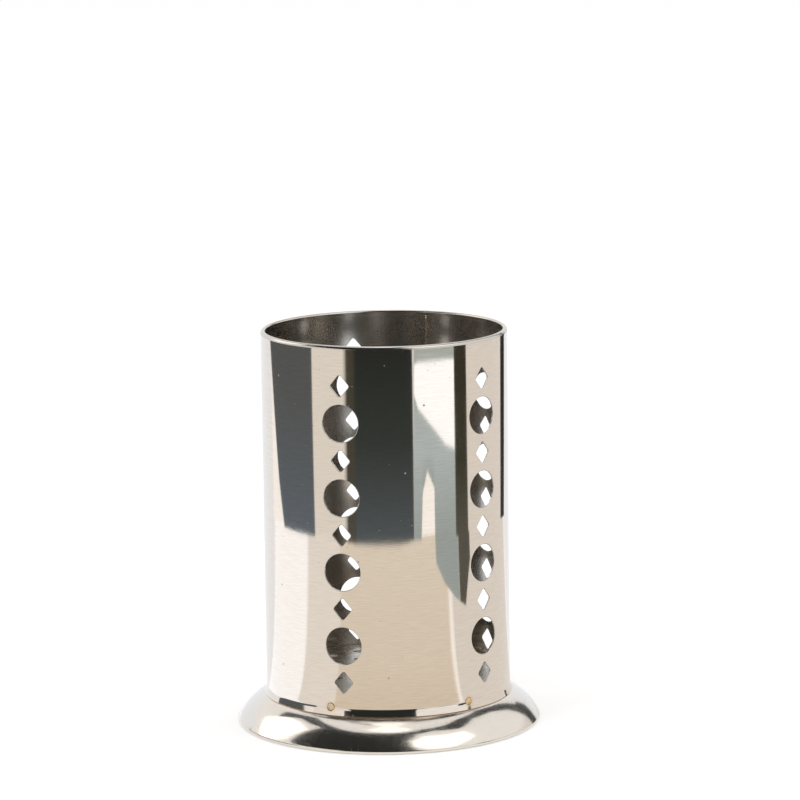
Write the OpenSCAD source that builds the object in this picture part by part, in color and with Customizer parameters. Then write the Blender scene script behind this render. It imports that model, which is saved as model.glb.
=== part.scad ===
// Stainless-steel chopstick holder: a rolled and welded tube with five columns of
// cut-outs, on a flared base ring that carries a perforated drain floor.
// The origin is the centre of the resting plane, +Z is up, and azimuths are
// measured in degrees from the front (-Y) towards +X. Lengths are in millimetres.

/* [Tube] */
// Outside diameter of the tube
tube_d = 100; // [84:1:116]
// Height of the rim above the table
rim_z = 162; // [150:1:200]
// Height of the tube's lower edge above the table
tube_foot_z = 12.5; // [9:0.1:16]
// Thickness of the tube's sheet
tube_sheet = 0.6; // [0.5:0.05:0.7]
// How far the tube's lower edge is spread outwards
foot_spread = 0.9; // [0.6:0.05:1.1]
// Height over which the tube's lower edge spreads
foot_spread_h = 2.8; // [2.2:0.1:4]

/* [Rim] */
// Outside radius of the bend that turns the wall inwards at the rim
rim_bend_r = 1.5; // [1.1:0.1:2.5]
// Angle at which the bend passes into the curl
rim_bend_angle = 60; // [40:5:75]
// Outside radius of the curl that turns the sheet back down
rim_curl_r = 0.8; // [0.75:0.05:1]
// Straight length of the flap below the curl
rim_flap = 1.2; // [0.5:0.1:4]

/* [Seam] */
// Width of the butt weld that closes the tube
seam_w = 1; // [0.6:0.1:2]
// How far the weld stands proud of the inner wall
seam_proud = 0.15; // [0.05:0.05:0.25]

/* [Base ring] */
// Diameter of the base ring at its foot
base_d = 124; // [116:1:140]
// Thickness of the base ring's sheet
base_sheet = 0.6; // [0.5:0.1:0.8]
// Radius of the flange's convex sweep
flange_sweep_r = 30; // [24:1:60]
// Radius of the hollow where the flange turns up into the collar
flange_hollow_r = 0.8; // [0.7:0.1:1.5]
// Radius of the bend at the foot of the flange
foot_bend_r = 1.1; // [0.9:0.1:2]
// Width of the edge that is turned in under the foot
foot_return = 3; // [1.5:0.5:5]
// Height of the collar above the tube's lower edge
collar_h = 6.5; // [5.7:0.1:9]
// Gap between the collar and the tube that it stands in
collar_gap = 0.05; // [0.02:0.01:0.1]
// Width of the ledge that carries the floor
ledge_w = 5; // [5:0.5:9]
// Radius of the bend between the collar and the ledge
ledge_bend_r = 1.2; // [0.9:0.1:1.5]

/* [Drain floor] */
// Thickness of the floor's sheet
floor_sheet = 0.6; // [0.5:0.1:1]
// Gap between the floor's edge and the tube
floor_gap = 0.3; // [0.2:0.05:0.5]
// Diameter of a drain hole
drain_hole_d = 4.5; // [3:0.5:6]
// Distance between the rings of drain holes
drain_ring_pitch = 12; // [10:0.5:13]
// Number of rings of drain holes
drain_rings = 3; // [1:1:3]
// Holes that each ring has more than the ring inside it
drain_ring_step = 6; // [4:1:8]

/* [Cut-outs] */
// Number of columns of cut-outs round the tube
columns = 5; // [3:1:7]
// Azimuth of the first column
column_azimuth = -21; // [-36:1:36]
// Number of cut-outs in a column, lozenges and discs in turn
cutouts_per_column = 9; // [5:2:9]
// Height of the lowest cut-out's centre above the floor
lowest_cutout_rise = 6.4; // [5.5:0.1:12]
// Distance of the highest cut-out's centre below the rim
highest_cutout_drop = 16; // [10:0.5:20]
// Diameter of a disc
disc_d = 15; // [8:0.5:16]
// Width of a lozenge across the column
lozenge_w = 7.5; // [5:0.5:14]
// Height of a lozenge along the column
lozenge_h = 8.5; // [5:0.5:9]
// Radius of a lozenge's corners
lozenge_corner_r = 0.8; // [0.4:0.1:1.2]

/* [Spot welds] */
// Number of spot welds between the tube and the collar
collar_welds = 5; // [3:1:5]
// Azimuth of the first collar weld
collar_weld_azimuth = 39.9; // [36:0.1:44]
// Angle from one collar weld to the next. The last gap takes what is left of the turn.
collar_weld_step_angle = 73.1; // [70:0.1:74]
// Height of a collar weld's centre above the tube's lower edge
collar_weld_rise = 3.2; // [2.6:0.1:3.6]
// Number of spot welds between the floor and the ledge
floor_welds = 4; // [3:1:8]
// Diameter of a spot weld
weld_d = 3; // [2:0.1:3]
// How far a weld's face lies below the sheet that it joins
weld_dimple = 0.1; // [0.05:0.05:0.2]

/* [Hidden] */
$fn = 144;

full_turn = 360;
cut_over = 1;
tube_r = tube_d / 2;
tube_bore_r = tube_r - tube_sheet;

// The bend and the curl meet on the line through both centres.
curl_aside = (rim_bend_r - rim_curl_r) * [cos(rim_bend_angle), sin(rim_bend_angle)];
curl_centre = [tube_r - rim_bend_r + curl_aside.x, rim_z - rim_curl_r];
bend_centre = curl_centre - curl_aside;
flap_r = curl_centre.x - rim_curl_r;
flap_z = curl_centre.y - rim_flap;

collar_r = tube_bore_r - collar_gap;
ledge_z = tube_foot_z + collar_h;
ledge_bore_r = collar_r - ledge_w;
floor_top_z = ledge_z + floor_sheet;
floor_r = tube_bore_r - floor_gap;

// The flange leaves the collar through a hollow, just under the tube's spread lower edge.
hollow_centre = [collar_r + flange_hollow_r, tube_foot_z + (flange_hollow_r + foot_spread) / 2];
foot_centre = [base_d / 2 - foot_bend_r, foot_bend_r];
sweep_centre = lower_meeting(
    hollow_centre, flange_sweep_r + flange_hollow_r, foot_centre, flange_sweep_r - foot_bend_r);
sweep_top = direction(sweep_centre, hollow_centre);
sweep_foot = direction(sweep_centre, foot_centre);

column_pitch = full_turn / columns;
lowest_cutout_z = floor_top_z + lowest_cutout_rise;
cutout_pitch = (rim_z - highest_cutout_drop - lowest_cutout_z) / (cutouts_per_column - 1);

// The seam runs midway between the two columns at the back.
seam_azimuth = column_azimuth + (floor(columns / 2) + 0.5) * column_pitch;
seam_angle = full_turn * seam_w / (PI * tube_d);

collar_weld_z = tube_foot_z + collar_weld_rise;
floor_weld_r = (ledge_bore_r + collar_r - ledge_bend_r) / 2;

// Angle of the ray from one point to another.
function direction(from, to) = atan2(to.y - from.y, to.x - from.x);

// The lower of the two points at distance r1 from p1 and r2 from p2.
function lower_meeting(p1, r1, p2, r2) =
    let (
        span = norm(p2 - p1),
        along = (r1 * r1 - r2 * r2 + span * span) / (2 * span),
        aside = sqrt(r1 * r1 - along * along),
        unit = (p2 - p1) / span
    )
    p1 + along * unit + aside * [unit.y, -unit.x];

// Points of an arc round a centre, from one angle to another.
function arc(centre, r, from, to, steps) =
    [for (i = [0:steps]) let (a = from + (to - from) * i / steps) centre + r * [cos(a), sin(a)]];

// Turns its children, drawn towards +X, to an azimuth.
module at_azimuth(azimuth) {
    rotate([0, 0, azimuth - 90])
        children();
}

// The tube's sheet in section, from its spread foot to the flap inside the rolled rim.
module tube_section() {
    spread_top_z = tube_foot_z + foot_spread_h;
    polygon(concat(
        [[tube_bore_r, spread_top_z], [tube_bore_r + foot_spread, tube_foot_z]],
        [[tube_r + foot_spread, tube_foot_z], [tube_r, spread_top_z]],
        arc(bend_centre, rim_bend_r, 0, rim_bend_angle, 5),
        arc(curl_centre, rim_curl_r, rim_bend_angle, 180, 8),
        [[flap_r, flap_z], [flap_r + tube_sheet, flap_z]],
        arc(curl_centre, rim_curl_r - tube_sheet, 180, rim_bend_angle, 6),
        arc(bend_centre, rim_bend_r - tube_sheet, rim_bend_angle, 0, 5)
    ));
}

// The base ring's sheet in section, from the ledge over the flange to the turned-in foot.
// Its shown face comes first and its hidden face, one sheet behind, comes back.
module base_ring_section() {
    ledge_bend_centre = [collar_r - ledge_bend_r, ledge_z - ledge_bend_r];
    return_r = foot_centre.x - foot_return;
    polygon(concat(
        [[ledge_bore_r, ledge_z]],
        arc(ledge_bend_centre, ledge_bend_r, 90, 0, 6),
        arc(hollow_centre, flange_hollow_r, 180, 180 + sweep_top, 6),
        arc(sweep_centre, flange_sweep_r, sweep_top, sweep_foot, 12),
        arc(foot_centre, foot_bend_r, sweep_foot, -90, 8),
        [[return_r, 0], [return_r, base_sheet]],
        arc(foot_centre, foot_bend_r - base_sheet, -90, sweep_foot, 6),
        arc(sweep_centre, flange_sweep_r - base_sheet, sweep_foot, sweep_top, 12),
        arc(hollow_centre, flange_hollow_r + base_sheet, 180 + sweep_top, 180, 6),
        arc(ledge_bend_centre, ledge_bend_r - base_sheet, 0, 90, 4),
        [[ledge_bore_r, ledge_z - base_sheet]]
    ));
}

// A lozenge with rounded corners, its height along X.
module lozenge() {
    half_w = lozenge_w / 2 - lozenge_corner_r;
    half_h = lozenge_h / 2 - lozenge_corner_r;
    lean = atan2(half_h, half_w);
    polygon(concat(
        arc([half_h, 0], lozenge_corner_r, lean - 90, 90 - lean, 4),
        arc([0, half_w], lozenge_corner_r, 90 - lean, 90 + lean, 4),
        arc([-half_h, 0], lozenge_corner_r, 90 + lean, 270 - lean, 4),
        arc([0, -half_w], lozenge_corner_r, 270 - lean, 270 + lean, 4)
    ));
}

// The cutters of one column start well inside the wall and clear of the next column's.
module column_of_cutouts() {
    cut_from = 0.8 * tube_r;
    cut_h = tube_r + cut_over - cut_from;
    for (i = [0:cutouts_per_column - 1])
        translate([cut_from, 0, lowest_cutout_z + i * cutout_pitch])
            rotate([0, 90, 0])
                if (i % 2 == 0)
                    linear_extrude(height = cut_h)
                        lozenge();
                else
                    cylinder(h = cut_h, d = disc_d);
}

// The space of every collar weld between two radii.
module collar_weld_spaces(r_in, r_out) {
    for (i = [0:collar_welds - 1])
        at_azimuth(collar_weld_azimuth + i * collar_weld_step_angle)
            translate([r_in, 0, collar_weld_z])
                rotate([0, 90, 0])
                    cylinder(h = r_out - r_in, d = weld_d);
}

// The space of every floor weld between two heights.
module floor_weld_spaces(z_low, z_high) {
    for (i = [0:floor_welds - 1])
        at_azimuth((i + 0.5) * full_turn / floor_welds)
            translate([floor_weld_r, 0, z_low])
                cylinder(h = z_high - z_low, d = weld_d);
}

module tube_wall() {
    color([0.86, 0.83, 0.80])
        difference() {
            at_azimuth(seam_azimuth + seam_angle / 2)
                rotate_extrude(angle = full_turn - seam_angle)
                    tube_section();
            for (i = [0:columns - 1])
                at_azimuth(column_azimuth + i * column_pitch)
                    column_of_cutouts();
            collar_weld_spaces(tube_bore_r - cut_over, tube_r + foot_spread + cut_over);
        }
}

module seam_weld() {
    bead_low_z = floor_top_z + floor_gap;
    bead_high_z = flap_z - floor_gap;
    color([0.78, 0.75, 0.70])
        at_azimuth(seam_azimuth - seam_angle / 2)
            rotate_extrude(angle = seam_angle) {
                tube_section();
                translate([tube_bore_r - seam_proud, bead_low_z])
                    square([seam_proud + tube_sheet / 2, bead_high_z - bead_low_z]);
            }
}

module base_ring() {
    color([0.82, 0.80, 0.78])
        difference() {
            rotate_extrude()
                base_ring_section();
            collar_weld_spaces(collar_r - base_sheet - cut_over, collar_r + cut_over);
            floor_weld_spaces(ledge_z - base_sheet - cut_over, ledge_z + cut_over);
        }
}

module drain_floor() {
    color([0.72, 0.71, 0.70])
        difference() {
            translate([0, 0, ledge_z])
                cylinder(h = floor_sheet, r = floor_r);
            for (ring = [1:drain_rings], i = [0:ring * drain_ring_step - 1])
                at_azimuth(i * full_turn / (ring * drain_ring_step))
                    translate([ring * drain_ring_pitch, 0, ledge_z - cut_over])
                        cylinder(h = floor_sheet + 2 * cut_over, d = drain_hole_d);
            floor_weld_spaces(ledge_z - cut_over, floor_top_z + cut_over);
        }
}

module collar_spot_welds() {
    color([0.70, 0.60, 0.42])
        collar_weld_spaces(collar_r - base_sheet, tube_r - weld_dimple);
}

module floor_spot_welds() {
    color([0.70, 0.60, 0.42])
        floor_weld_spaces(ledge_z - base_sheet, floor_top_z - weld_dimple);
}

tube_wall();
seam_weld();
base_ring();
drain_floor();
collar_spot_welds();
floor_spot_welds();
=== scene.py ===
"""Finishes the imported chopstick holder: a punched and rolled steel tube on a pressed base ring.

Every length is in metres. Azimuths are measured from the front (-Y) towards +X.
A sheet's section is a loop of (point, normal) pairs in the plane of radius and height.
"""

import math

import bmesh
import bpy
from mathutils import Matrix, Vector


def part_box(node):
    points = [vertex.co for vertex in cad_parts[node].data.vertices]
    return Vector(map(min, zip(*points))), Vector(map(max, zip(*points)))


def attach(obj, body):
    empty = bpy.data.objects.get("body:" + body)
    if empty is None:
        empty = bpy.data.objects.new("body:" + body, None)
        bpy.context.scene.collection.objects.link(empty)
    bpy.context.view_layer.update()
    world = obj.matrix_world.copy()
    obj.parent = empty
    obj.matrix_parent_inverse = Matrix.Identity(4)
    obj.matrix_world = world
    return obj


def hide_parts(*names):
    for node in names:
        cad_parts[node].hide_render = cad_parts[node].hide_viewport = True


bl_info = {
    "name": "Chopstick Holder",
    "version": (1, 0, 0),
    "blender": (4, 5, 0),
    "location": "View3D > Sidebar > Holder",
    "description": "Makes a punched and rolled steel chopstick holder on a flared base ring",
    "category": "Add Mesh",
}

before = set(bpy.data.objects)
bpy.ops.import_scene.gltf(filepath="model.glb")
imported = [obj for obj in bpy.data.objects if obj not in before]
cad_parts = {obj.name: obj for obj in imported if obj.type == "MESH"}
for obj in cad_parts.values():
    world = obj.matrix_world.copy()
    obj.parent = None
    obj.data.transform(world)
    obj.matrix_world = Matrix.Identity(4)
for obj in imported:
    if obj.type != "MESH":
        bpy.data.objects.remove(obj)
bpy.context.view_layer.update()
tube_low, tube_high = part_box("tube_wall")
base_low, base_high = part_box("base_ring")
floor_low, floor_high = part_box("drain_floor")

MM = 0.001
BODY = "root"
NORMAL_NAME = "sheet_normal"
EDGE_NAME = "cut_edge"


def length_property(name, default, description):
    """A size in metres."""
    return bpy.props.FloatProperty(
        name=name, description=description, default=default, min=0, precision=5, unit="LENGTH"
    )


def angle_property(name, degrees, description):
    """An angle, written in degrees."""
    return bpy.props.FloatProperty(
        name=name, description=description, default=math.radians(degrees), subtype="ANGLE"
    )


def count_property(name, default, description):
    """A number of like things."""
    return bpy.props.IntProperty(name=name, description=description, default=default, min=1)


def share_property(name, default, description):
    """A number from 0 to 1."""
    return bpy.props.FloatProperty(
        name=name, description=description, default=default, min=0, max=1
    )


def colour_property(name, default, description):
    """A linear colour."""
    return bpy.props.FloatVectorProperty(
        name=name, description=description, default=default, size=3, min=0, max=1, subtype="COLOR"
    )


class TubeSizes(bpy.types.PropertyGroup):
    """Sizes of the rolled tube and its seam."""

    radius: length_property("Radius", 50 * MM, "Outside radius of the tube")
    foot_z: length_property("Foot Height", tube_low.z, "Height of the tube's lower edge")
    rim_z: length_property("Rim Height", tube_high.z, "Height of the rim")
    sheet: length_property("Sheet", 0.6 * MM, "Thickness of the tube's sheet")
    spread: length_property("Foot Spread", 0.9 * MM, "How far the lower edge is spread")
    spread_h: length_property("Spread Height", 2.8 * MM, "Height over which it spreads")
    spread_r: length_property("Spread Bend", 3 * MM, "Radius of the bend into the spread")
    bend_r: length_property("Rim Bend", 1.5 * MM, "Outside radius of the wall's bend at the rim")
    bend_angle: angle_property("Rim Bend Angle", 60, "Angle at which the bend passes into the curl")
    curl_r: length_property("Rim Curl", 0.8 * MM, "Outside radius of the curl that turns the sheet down")
    flap: length_property("Rim Flap", 1.2 * MM, "Straight length of the flap below the curl")
    edge: length_property("Sheet Edge", 0.08 * MM, "Rounding of the sheet's edges")
    seam_w: length_property("Seam Width", 1 * MM, "Width of the butt weld")
    seam_proud: length_property("Seam Bead", 0.15 * MM, "Height of the bead inside the tube")


class CutoutSizes(bpy.types.PropertyGroup):
    """Sizes of the cut-outs in the tube."""

    columns: count_property("Columns", 5, "Number of columns round the tube")
    first: angle_property("First Column", -21, "Azimuth of the first column")
    count: count_property("Cut-outs", 9, "Number of cut-outs in a column, lozenges and discs in turn")
    lowest_z: length_property("Lowest", 26 * MM, "Height of the lowest cut-out's centre")
    highest_z: length_property("Highest", 146 * MM, "Height of the highest cut-out's centre")
    disc_d: length_property("Disc", 15 * MM, "Diameter of a disc")
    lozenge_w: length_property("Lozenge Width", 7.5 * MM, "Width of a lozenge across the column")
    lozenge_h: length_property("Lozenge Height", 8.5 * MM, "Height of a lozenge along the column")
    corner_r: length_property("Lozenge Corner", 0.8 * MM, "Radius of a lozenge's corners")
    die_roll: length_property("Die Roll", 0.27 * MM, "Rounding that the punch leaves on a hole's edge")


class BaseSizes(bpy.types.PropertyGroup):
    """Sizes of the pressed base ring."""

    radius: length_property("Radius", base_high.x, "Radius of the base ring at its foot")
    sheet: length_property("Sheet", 0.6 * MM, "Thickness of the base ring's sheet")
    sweep_r: length_property("Flange Sweep", 30 * MM, "Radius of the flange's convex sweep")
    hollow_r: length_property("Flange Hollow", 0.8 * MM, "Radius of the hollow under the collar")
    foot_r: length_property("Foot Bend", 1.1 * MM, "Radius of the bend at the foot")
    foot_return: length_property("Foot Return", 3 * MM, "Width of the edge turned in under the foot")
    collar_gap: length_property("Collar Gap", 0.05 * MM, "Gap between the collar and the tube")
    ledge_z: length_property("Ledge Height", base_high.z, "Height of the ledge")
    ledge_w: length_property("Ledge Width", 5 * MM, "Width of the ledge")
    ledge_r: length_property("Ledge Bend", 1.2 * MM, "Radius of the bend between collar and ledge")


class FloorSizes(bpy.types.PropertyGroup):
    """Sizes of the perforated drain floor."""

    radius: length_property("Radius", floor_high.x, "Radius of the floor")
    low_z: length_property("Underside", floor_low.z, "Height of the floor's underside")
    high_z: length_property("Top", floor_high.z, "Height of the floor's top")
    hole_d: length_property("Drain Hole", 4.5 * MM, "Diameter of a drain hole")
    ring_pitch: length_property("Ring Pitch", 12 * MM, "Distance between the rings of holes")
    rings: count_property("Rings", 3, "Number of rings of holes")
    ring_step: count_property("Ring Step", 6, "Holes that each ring has more than the ring inside it")
    edge: length_property("Edge", 0.1 * MM, "Rounding of the floor's edges")


class WeldSizes(bpy.types.PropertyGroup):
    """Sizes of the spot welds."""

    diameter: length_property("Diameter", 3 * MM, "Diameter of a spot weld")
    dimple: length_property("Dimple", 0.16 * MM, "Depth of a weld's face below the sheet")
    collar_count: count_property("Collar Welds", 5, "Number of welds between tube and collar")
    collar_first: angle_property("First Collar Weld", 39.9, "Azimuth of the first collar weld")
    collar_step: angle_property("Collar Weld Step", 73.1, "Angle from one collar weld to the next")
    collar_z: length_property("Collar Weld Height", 15.7 * MM, "Height of the collar welds")
    floor_count: count_property("Floor Welds", 4, "Number of welds between floor and ledge")
    floor_first: angle_property("First Floor Weld", 45, "Azimuth of the first floor weld")
    floor_r: length_property("Floor Weld Radius", 46.25 * MM, "Radius of the ring of floor welds")
    tint_r: length_property("Heat Tint", 3.1 * MM, "Radius of the heat tint round a weld")


class SteelLook(bpy.types.PropertyGroup):
    """Colours and finish of the steel."""

    polished: colour_property("Polished Steel", (0.79, 0.71, 0.63), "Colour of the polished sheet")
    pressed: colour_property("Pressed Steel", (0.78, 0.72, 0.65), "Colour of the base ring")
    satin: colour_property("Satin Steel", (0.62, 0.58, 0.53), "Colour of the inside and the floor")
    straw: colour_property("Heat Tint", (0.78, 0.50, 0.20), "Colour of the heat tint")
    gloss: share_property("Roughness", 0.035, "Roughness of the polished sheet")
    grain: share_property("Anisotropy", 0.75, "How much the brushing stretches reflections")


class StageLook(bpy.types.PropertyGroup):
    """The pale floor, the soft light, the screens that the steel mirrors, and the camera."""

    distance: length_property("Camera Distance", 1.5972, "Distance of the camera in front of the axis")
    height: length_property("Camera Height", 0.4072, "Height of the camera above the floor")
    pitch: angle_property("Pitch", 9.770, "Angle of the view below the horizon")
    roll: angle_property("Roll", -0.754, "Turn of the camera about its view")
    yaw: angle_property("Yaw", 0.223, "Turn of the view towards +X")
    lens: bpy.props.FloatProperty(
        name="Focal Length", description="Focal length in millimetres", default=179.6
    )
    floor_r: length_property("Floor Radius", 9, "Radius of the floor")
    screen_r: length_property("Screen Radius", 0.45, "Distance of the low screens from the axis")
    dome_r: length_property("Dome Radius", 1.4, "Distance of the high screens from the centre")
    pale: share_property("Pale Wall", 1.0, "Brightness of the pale surroundings")
    ambient: share_property("Ambient Light", 0.92, "Soft light from all round")


class HolderSettings(bpy.types.PropertyGroup):
    """All settings of the chopstick holder."""

    tube: bpy.props.PointerProperty(type=TubeSizes, name="Tube", description="Rolled tube")
    cutouts: bpy.props.PointerProperty(type=CutoutSizes, name="Cut-outs", description="Cut-outs")
    base: bpy.props.PointerProperty(type=BaseSizes, name="Base Ring", description="Base ring")
    floor: bpy.props.PointerProperty(type=FloorSizes, name="Floor", description="Drain floor")
    welds: bpy.props.PointerProperty(type=WeldSizes, name="Welds", description="Spot welds")
    steel: bpy.props.PointerProperty(type=SteelLook, name="Steel", description="Steel")
    stage: bpy.props.PointerProperty(type=StageLook, name="Stage", description="Stage")


# Sections of a sheet

def arc(centre, radius, start, end, steps, hollow=False):
    """Points of an arc and the normals of its shown face, from one angle in degrees to another."""
    points = []
    for i in range(steps + 1):
        angle = math.radians(start + (end - start) * i / steps)
        ray = Vector((math.cos(angle), math.sin(angle)))
        points.append((centre + radius * ray, -ray if hollow else ray))
    return points


def along(normal):
    """The direction in which a shown face runs, a quarter turn left of its normal."""
    return Vector((-normal.y, normal.x))


def corner(centre, radius, start, end):
    """The middle and the last point of a rounded corner between two directions."""
    halfway = (start + end).normalized()
    return [(centre + radius * halfway, halfway), (centre + radius * end, end)]


def closed_section(face, sheet, edge, level_start=False):
    """Section of a sheet from its shown face: both edges rounded, the hidden face one sheet behind.

    A level start cuts the sheet's first edge level instead of square.
    """
    first_point, first_normal = face[0]
    last_point, last_normal = face[-1]
    start, finish = -along(first_normal), along(last_normal)
    across = -sheet * first_normal
    if level_start:
        start, across = Vector((0, -1)), Vector((-sheet / first_normal.x, 0))
    first = (first_point - edge * start, first_normal)
    last = (last_point - edge * finish, last_normal)
    face = [first, *face[1:-1], last]
    hidden = [(point - sheet * normal, -normal) for point, normal in reversed(face)]
    hidden[-1] = (face[0][0] + across, -first_normal)
    end_outer = last_point - edge * (finish + last_normal)
    end_inner = last_point - edge * finish - (sheet - edge) * last_normal
    start_inner = first_point - edge * start + across - edge * across.normalized()
    start_outer = first_point - edge * start + edge * across.normalized()
    return [
        *face,
        *corner(end_outer, edge, last_normal, finish),
        (end_inner + edge * finish, finish),
        corner(end_inner, edge, finish, -last_normal)[0],
        *hidden,
        *corner(start_inner, edge, -first_normal, start),
        (start_outer + edge * start, start),
        corner(start_outer, edge, start, first_normal)[0],
    ]


def wall_face(tube, z):
    """Point and normal of the tube's outer face at a height, with the spread at its foot."""
    slope = math.atan2(tube.spread, tube.spread_h)
    below = tube.foot_z + tube.spread_h + tube.spread_r * math.tan(slope / 2) - z
    turned = math.asin(min(max(0, below) / tube.spread_r, math.sin(slope)))
    straight = max(0, below - tube.spread_r * math.sin(slope))
    radius = tube.radius + tube.spread_r * (1 - math.cos(turned)) + straight * math.tan(slope)
    return Vector((radius, z)), Vector((math.cos(turned), math.sin(turned)))


def rim_face(tube):
    """The shown face of the rim: the wall's bend, the tighter curl and the flap that hangs from it."""
    turned = math.degrees(tube.bend_angle)
    aside = (tube.bend_r - tube.curl_r) * Vector((math.cos(tube.bend_angle), math.sin(tube.bend_angle)))
    curl = Vector((tube.radius - tube.bend_r + aside.x, tube.rim_z - tube.curl_r))
    flap_end = Vector((curl.x - tube.curl_r, curl.y - tube.flap))
    return [
        *arc(curl - aside, tube.bend_r, 0, turned, 8),
        *arc(curl, tube.curl_r, turned, 180, 12)[1:],
        (flap_end, Vector((-1, 0))),
    ]


def base_face(base, tube):
    """The shown face of the base ring, from the turned-in foot over the flange to the ledge."""
    collar_r = tube.radius - tube.sheet - base.collar_gap
    foot = Vector((base.radius - base.foot_r, base.foot_r))
    hollow = Vector((collar_r + base.hollow_r, tube.foot_z + (base.hollow_r + tube.spread) / 2))
    bend = Vector((collar_r - base.ledge_r, base.ledge_z - base.ledge_r))
    sweep = lower_meeting(hollow, base.sweep_r + base.hollow_r, foot, base.sweep_r - base.foot_r)
    to_hollow = math.degrees(math.atan2(*(hollow - sweep).yx))
    to_foot = math.degrees(math.atan2(*(foot - sweep).yx))
    return [
        (Vector((foot.x - base.foot_return, 0)), Vector((0, -1))),
        *arc(foot, base.foot_r, -90, to_foot, 18),
        *arc(sweep, base.sweep_r, to_foot, to_hollow, 24)[1:],
        *arc(hollow, base.hollow_r, 180 + to_hollow, 180, 12, hollow=True)[1:],
        *arc(bend, base.ledge_r, 0, 90, 10),
        (Vector((collar_r - base.ledge_w, base.ledge_z)), Vector((0, 1))),
    ]


def lower_meeting(p1, r1, p2, r2):
    """The lower of the two points at distance r1 from p1 and r2 from p2."""
    span = (p2 - p1).length
    ahead = (r1 * r1 - r2 * r2 + span * span) / (2 * span)
    aside = math.sqrt(r1 * r1 - ahead * ahead)
    unit = (p2 - p1) / span
    return p1 + ahead * unit + aside * Vector((unit.y, -unit.x))


# Outlines of the holes, clockwise from the top, as (point, outward direction) pairs

def full_outline(quarter):
    """Repeats a quarter outline, from its top to its right end, round the whole hole."""
    back = list(reversed(quarter))

    def turned(points, right, up):
        return [(Vector((right * p.x, up * p.y)), Vector((right * n.x, up * n.y))) for p, n in points[:-1]]

    return turned(quarter, 1, 1) + turned(back, 1, -1) + turned(quarter, -1, -1) + turned(back, -1, 1)


def disc_outline(diameter, per_quarter):
    """Outline of a round hole."""
    return full_outline(arc(Vector((0, 0)), diameter / 2, 90, 0, per_quarter))


def lozenge_outline(cutouts, per_quarter):
    """Outline of a lozenge with rounded corners."""
    corner_r = cutouts.corner_r
    top = Vector((0, cutouts.lozenge_h / 2 - corner_r))
    right = Vector((cutouts.lozenge_w / 2 - corner_r, 0))
    lean = math.degrees(math.atan2(right.x, top.y))
    corner_steps = round(0.3 * per_quarter)
    side_steps = per_quarter - 2 * corner_steps
    top_arc = arc(top, corner_r, 90, lean, corner_steps)
    right_arc = arc(right, corner_r, lean, 0, corner_steps)
    (start, facing), (end, _) = top_arc[-1], right_arc[0]
    side = [(start.lerp(end, i / side_steps), facing) for i in range(1, side_steps)]
    return full_outline(top_arc + side + right_arc)


# Meshes

def link_object(name, data):
    """Adds an object with this data to the scene."""
    made = bpy.data.objects.new(name, data)
    bpy.context.collection.objects.link(made)
    return made


class SheetMesh:
    """Points with their normals and faces of a sheet, before it becomes an object."""

    def __init__(self):
        self.points = []
        self.normals = []
        self.edges = []
        self.faces = []

    def add(self, point, normal, edge=0.0):
        """Adds a point and returns its number. Edge is 1 where the sheet was cut."""
        self.points.append(point)
        self.normals.append(normal)
        self.edges.append(edge)
        return len(self.points) - 1

    def to_object(self, name):
        """Makes the object, with the normals and the edge mask kept as attributes."""
        mesh = bpy.data.meshes.new(name)
        mesh.from_pydata(self.points, [], self.faces)
        normals = mesh.attributes.new(NORMAL_NAME, "FLOAT_VECTOR", "POINT")
        normals.data.foreach_set("vector", [x for normal in self.normals for x in normal])
        edges = mesh.attributes.new(EDGE_NAME, "FLOAT", "POINT")
        edges.data.foreach_set("value", self.edges)
        return link_object(name, mesh)


def lathe(name, section, steps, start=0.0, turn=2 * math.pi):
    """Turns a closed section about the Z axis. Less than a full turn gets flat ends."""
    sheet = SheetMesh()
    closed = turn >= 2 * math.pi
    lines = steps if closed else steps + 1
    count = len(section)
    for j in range(lines):
        azimuth = start + turn * j / steps
        outward = Vector((math.sin(azimuth), -math.cos(azimuth), 0))
        for point, normal in section:
            place = outward * point.x + Vector((0, 0, point.y))
            sheet.add(place, outward * normal.x + Vector((0, 0, normal.y)))
    for j in range(steps):
        near, far = j * count, (j + 1) % lines * count
        for i in range(count):
            after = (i + 1) % count
            sheet.faces.append((near + i, far + i, far + after, near + after))
    if not closed:
        sheet.faces.append(tuple(range(count)))
        sheet.faces.append(tuple(reversed(range(steps * count, lines * count))))
    return sheet.to_object(name)


def finish_mesh(made, cap_faces=()):
    """Shades the mesh smooth with its own normals. Cap faces stay flat."""
    mesh = made.data
    mesh.shade_smooth()
    kept = [tuple(item.vector) for item in mesh.attributes[NORMAL_NAME].data]
    flat = set(cap_faces)
    loops = [None] * len(mesh.loops)
    for polygon in mesh.polygons:
        for index in polygon.loop_indices:
            is_flat = polygon.index in flat
            loops[index] = tuple(polygon.normal) if is_flat else kept[mesh.loops[index].vertex_index]
    mesh.normals_split_custom_set(loops)
    mesh.attributes.remove(mesh.attributes[NORMAL_NAME])
    return made


def weld_offsets(cutouts, welds):
    """Angle from each collar weld's nearest column to the weld."""
    pitch = 2 * math.pi / cutouts.columns
    azimuths = [welds.collar_first + i * welds.collar_step for i in range(welds.collar_count)]
    return [math.remainder(azimuth - cutouts.first, pitch) for azimuth in azimuths]


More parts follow.
